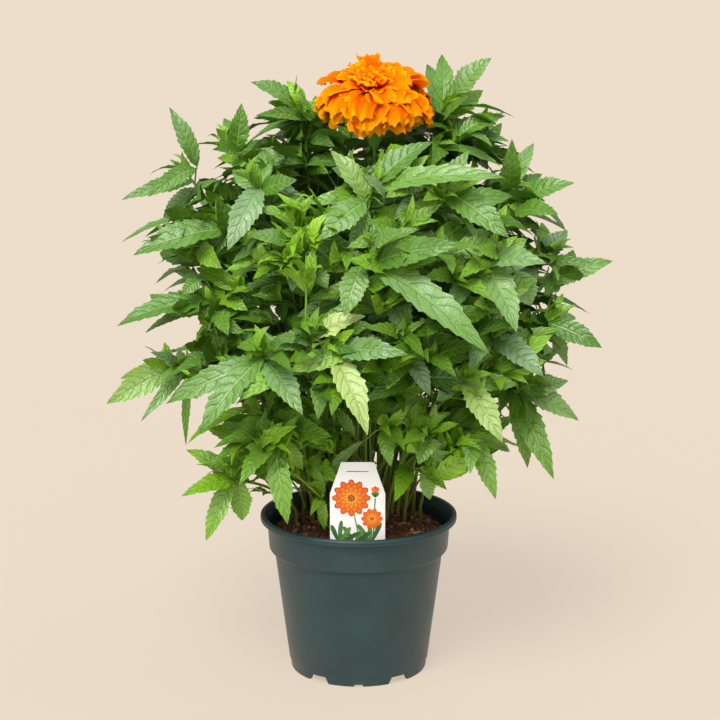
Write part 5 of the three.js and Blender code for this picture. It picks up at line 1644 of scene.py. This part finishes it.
# Label
LABEL_EDGE = 0.18      # how far its edges are rounded
PRINT_RISE = 0.05
LAYER_RISE = 0.012     # how much higher each layer of the print lies, so that none flickers
PRINT_DEPTH = 0.02     # how far the print reaches into the card
OUTLINE_INK, FLORET_INK, RULE_INK, STALK_INK, SEPAL_INK = 0.46, 0.36, 0.24, 0.06, 0.1
BLOSSOM_RINGS = ((1.0, 0.62), (0.82, 0.72), (0.62, 0.83), (0.42, 0.93))    # size and ink
LEAF_FOOT = 49.5       # how far under the label's top edge the printed leaves start


def make_label():
    shoulder = label_top - LABEL_SHOULDER_DROP
    side = [(LABEL_TOP_WIDTH / 2, label_top), (LABEL_WIDTH / 2, shoulder),
            (LABEL_WIDTH / 2, SOIL_EDGE - LABEL_TAPER),
            (LABEL_STAKE_WIDTH / 2, LABEL_STAKE_END + LABEL_TAPER),
            (LABEL_POINT_WIDTH / 2, LABEL_STAKE_END)]
    outline = side + [(-x, z) for x, z in reversed(side)]
    front = LABEL_DEPTH - LABEL_THICKNESS / 2
    points = [(LABEL_CENTRE + x, front, z) for x, z in outline]
    label = new_mesh("plant_label.card", points, [tuple(range(len(points)))])

    def thicken():
        bpy.ops.mesh.select_all(action="SELECT")
        bpy.ops.mesh.extrude_region_move(
            TRANSFORM_OT_translate={"value": (0, LABEL_THICKNESS * MM, 0)})
        bpy.ops.mesh.select_all(action="SELECT")
        bpy.ops.mesh.normals_make_consistent(inside=False)

    edit(thicken)
    bevel = label.modifiers.new("edge", "BEVEL")
    bevel.width = LABEL_EDGE * MM
    bevel.segments = 2
    bpy.ops.object.modifier_apply(modifier=bevel.name)
    label.data.materials.append(materials["label"])
    smooth(label, 40)
    return label


def angles_round(count):
    """Evenly spaced angles, once round."""
    return (2 * math.pi * i / count for i in range(count))


def print_shape(copies, outline, layer, ink):
    """A flat printed shape on the label's face, as a very thin prism."""
    base = LABEL_DEPTH - LABEL_THICKNESS / 2
    count = len(outline)
    rise = PRINT_RISE + LAYER_RISE * layer
    points = np.array([(x + LABEL_CENTRE, base - depth, z)
                       for depth in (-PRINT_DEPTH, rise) for x, z in outline])
    faces = [tuple(reversed(range(count))), tuple(range(count, 2 * count))]
    faces += [((i + 1) % count, (i + 1) % count + count, i + count, i) for i in range(count)]
    copies.add(points, Template(np.zeros((2 * count, 3)), faces), ink=ink)


def print_petal(copies, centre, length, width, turn, layer, ink):
    """A rounded petal or leaf shape that points away from a centre."""
    outline = []
    for angle in angles_round(20):
        share = 0.5 - 0.5 * math.cos(angle)
        along = length * share ** 0.85
        across = width / 2 * math.sin(angle) * (0.55 + 0.45 * share)
        x = centre[0] + along * math.cos(turn) - across * math.sin(turn)
        outline.append((x, centre[1] + along * math.sin(turn) + across * math.cos(turn)))
    print_shape(copies, outline, layer, ink)


def print_blossom(copies, centre, radius, petals, layer):
    """A double blossom: rings of darkly outlined petals, lighter inwards, and dark florets."""
    for ring, (share, ink) in enumerate(BLOSSOM_RINGS):
        for i in range(petals):
            turn = 2 * math.pi * (i + 0.5 * ring) / petals
            width = 5.4 * radius * share / petals
            level = layer + 2 * ring + 0.9 * (i % 2)
            print_petal(copies, centre, radius * share, width, turn, level, OUTLINE_INK)
            print_petal(copies, centre, radius * share * 0.93, width * 0.82, turn, level + 0.4, ink)
    for i in range(9):
        far = 0.13 * radius * (i > 0)
        turn = 2 * math.pi * i / 8
        middle = (centre[0] + far * math.cos(turn), centre[1] + far * math.sin(turn))
        outline = [(middle[0] + 0.05 * radius * math.cos(a), middle[1] + 0.05 * radius * math.sin(a))
                   for a in angles_round(12)]
        print_shape(copies, outline, layer + 9, FLORET_INK)


def make_print():
    """A thin rule, two blossoms, a bud and a row of leaves: a plain design of its own."""
    copies = Copies()
    rule = label_top - 5.4
    corners = [(-6.5, rule), (6.5, rule), (6.5, rule - 0.5), (-6.5, rule - 0.5)]
    print_shape(copies, corners, 0, RULE_INK)
    big, small, bud = (-3.7, label_top - 21.8), (8.5, label_top - 34.5), (10.4, label_top - 20)
    for x, high, turns in ((-11, 12, (112, 84, 55, 28)), (-2, 10, (150, 122, 60, 35)),
                           (8, 12, (150, 125, 95, 65))):
        for number, degrees in enumerate(turns):
            print_petal(copies, (x, label_top - LEAF_FOOT), high + 2 * (number % 2), 3.4,
                        math.radians(degrees), 0.4 * number, 0.03 + 0.05 * (number % 3))
    low = label_top - LEAF_FOOT + 0.5
    for x, (to, top) in ((1.5, big), (9.0, bud)):
        high = top - 2
        corners = [(x - 0.35, low), (to - 0.35, high), (to + 0.35, high), (x + 0.35, low)]
        print_shape(copies, corners, 0.3, STALK_INK)
    for degrees, length, ink in ((90, 5.5, 0.56), (70, 5.0, 0.66), (110, 5.0, 0.76)):
        print_petal(copies, bud, length, 2.6, math.radians(degrees), 2 + ink, ink)
    for degrees in (55, 125, 90):
        print_petal(copies, (bud[0], bud[1] - 1.5), 3.6, 2.0, math.radians(degrees), 4, SEPAL_INK)
    print_blossom(copies, big, 11.4, 12, 3)
    print_blossom(copies, small, 6.4, 10, 13)
    design = copies.build("plant_label.print")
    smooth_all(design, False)
    design.data.materials.append(materials["ink"])
    return design


# Build
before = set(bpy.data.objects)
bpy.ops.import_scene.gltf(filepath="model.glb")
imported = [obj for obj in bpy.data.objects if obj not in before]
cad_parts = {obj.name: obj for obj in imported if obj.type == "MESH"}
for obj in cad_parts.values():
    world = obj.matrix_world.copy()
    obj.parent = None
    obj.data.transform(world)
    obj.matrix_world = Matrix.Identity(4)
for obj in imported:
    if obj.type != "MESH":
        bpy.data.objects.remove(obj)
cad_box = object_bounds()
materials = {
    "leaf": leaf_material(), "stem": stem_material(), "petal": petal_material(),
    "pot": pot_material(), "soil": soil_material(), "label": label_material(),
    "ink": ink_material(), "floor": floor_material(),
}
templates = {"large": model_blade(10, 2), "middle": model_blade(8, 1), "small": model_blade(5, 1)}

seen_plans, far_plans, flower_stem = plan_seen(), plan_far(), plan_flower_stem()
plans = [*seen_plans, *far_plans, flower_stem]
for owner, plan in enumerate(plans):
    for curve in (plan.stem, *plan.shoots):
        mark_curve(curve, owner)
leaves = place_leaves(seen_plans, far_plans, flower_stem)
measure_crown([leaf for of_stem in leaves for leaf in of_stem])
side_shoots, bright_shoots = [[] for _ in plans], [[] for _ in plans]
for place in BRIGHT_TUFTS:
    owner, shoot = shoot_to(plans, seen(*place))
    bright_shoots[owner].append(shoot)
for end in (*side_spray_ends(), *low_spray_ends(), *(seen(*place) for place in FILLED_GAPS)):
    owner, shoot = shoot_to(plans, end)
    side_shoots[owner].append(shoot)

SLOTS = {"pot": "pot_plastic", "soil": "potting_soil", "plant_label": "label_plastic",
         "bloom": "petals"}


def hand_over(piece, *nodes, node=None):
    """A finished piece rides with the object and stands for the nodes that it replaces."""
    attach(piece, "root")
    if nodes:
        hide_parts(*nodes)
    SLOTS.get(node or nodes[0], "leaves")


for owner, plan in enumerate(plans):
    sprays = SEEN_STEMS[owner].sprays if owner < len(SEEN_STEMS) else ()
    bright = {number for number, spray in enumerate(sprays) if spray.bright}
    listed = [spec[:2] for spray in sprays for spec in spray.leaves]
    growth = dress_stem(plan, owner, leaves[owner], listed, side_shoots[owner],
                        bright_shoots[owner], bright)
    if plan is flower_stem:
        growth = join([growth, make_calyx()], growth.name)
    hand_over(growth, plan.name)
hand_over(make_bloom(), "bloom")
hand_over(make_pot(), "pot")
plug, crumbs = make_soil()
hand_over(plug, "soil")
hand_over(crumbs, node="soil")
hand_over(make_label(), "plant_label")
hand_over(make_print(), node="plant_label")


# Stage, light and camera
def sun_light(name, way, power, spread, tint):
    """Light from far away. way points at it, and spread is how many degrees wide it is."""
    light = bpy.data.lights.new(name, "SUN")
    light.angle = math.radians(spread)
    light.energy = power
    light.color = colour(tint)[:3]
    lamp = bpy.data.objects.new(name, light)
    bpy.context.collection.objects.link(lamp)
    lamp.location = way
    lamp.rotation_euler = Vector(way).to_track_quat("Z", "Y").to_euler()


deselect()
bpy.ops.mesh.primitive_plane_add(size=60, location=ORIGIN)
floor = bpy.context.object
floor.name = "floor"
floor.data.materials.append(materials["floor"])
floor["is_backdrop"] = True

world = bpy.data.worlds.new("soft_studio")
world.use_nodes = True
sky = world.node_tree
sky.nodes["Background"].inputs[0].default_value = colour("#FFFCF8")
sky.nodes["Background"].inputs[1].default_value = 0.2
wall = add(sky, "Background", None, {0: colour(BACKDROP)})    # seen above the floor's far edge
seen_by_eye = add(sky, "LightPath").outputs["Is Camera Ray"]
both = add(sky, "MixShader", None, {0: seen_by_eye, 1: sky.nodes["Background"], 2: wall})
connect(sky, sky.nodes["World Output"], {0: both})
bpy.context.scene.world = world
sun_light("key", (-0.35, -0.95, 1.25), 3.3, 32, "#FFFBF6")
sun_light("fill", (0.9, -0.7, 1.0), 0.5, 80, "#FFFFFF")
sun_light("front", (-0.2, -1.0, 0.25), 1.2, 70, "#FFFFFF")
sun_light("top", (0.1, 0.25, 1.0), 1.0, 90, "#F8FCFF")

camera = bpy.data.cameras.new("camera")
camera.sensor_width = SENSOR_MM
camera.lens = EYE_FOCAL * SENSOR_MM / IMAGE_PX
camera.shift_x = (EYE_HORIZON_PX - EYE_AXIS_PX) / IMAGE_PX
eye = bpy.data.objects.new("camera", camera)
bpy.context.collection.objects.link(eye)
eye.location = (0, -EYE_DISTANCE * MM, EYE_HEIGHT * MM)
eye.rotation_euler = (math.pi / 2 - EYE_DOWN, 0, 0)
bpy.context.scene.camera = eye
bpy.context.scene.view_settings.view_transform = "Standard"

[[list(corner) for corner in box] for box in (cad_box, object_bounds())]
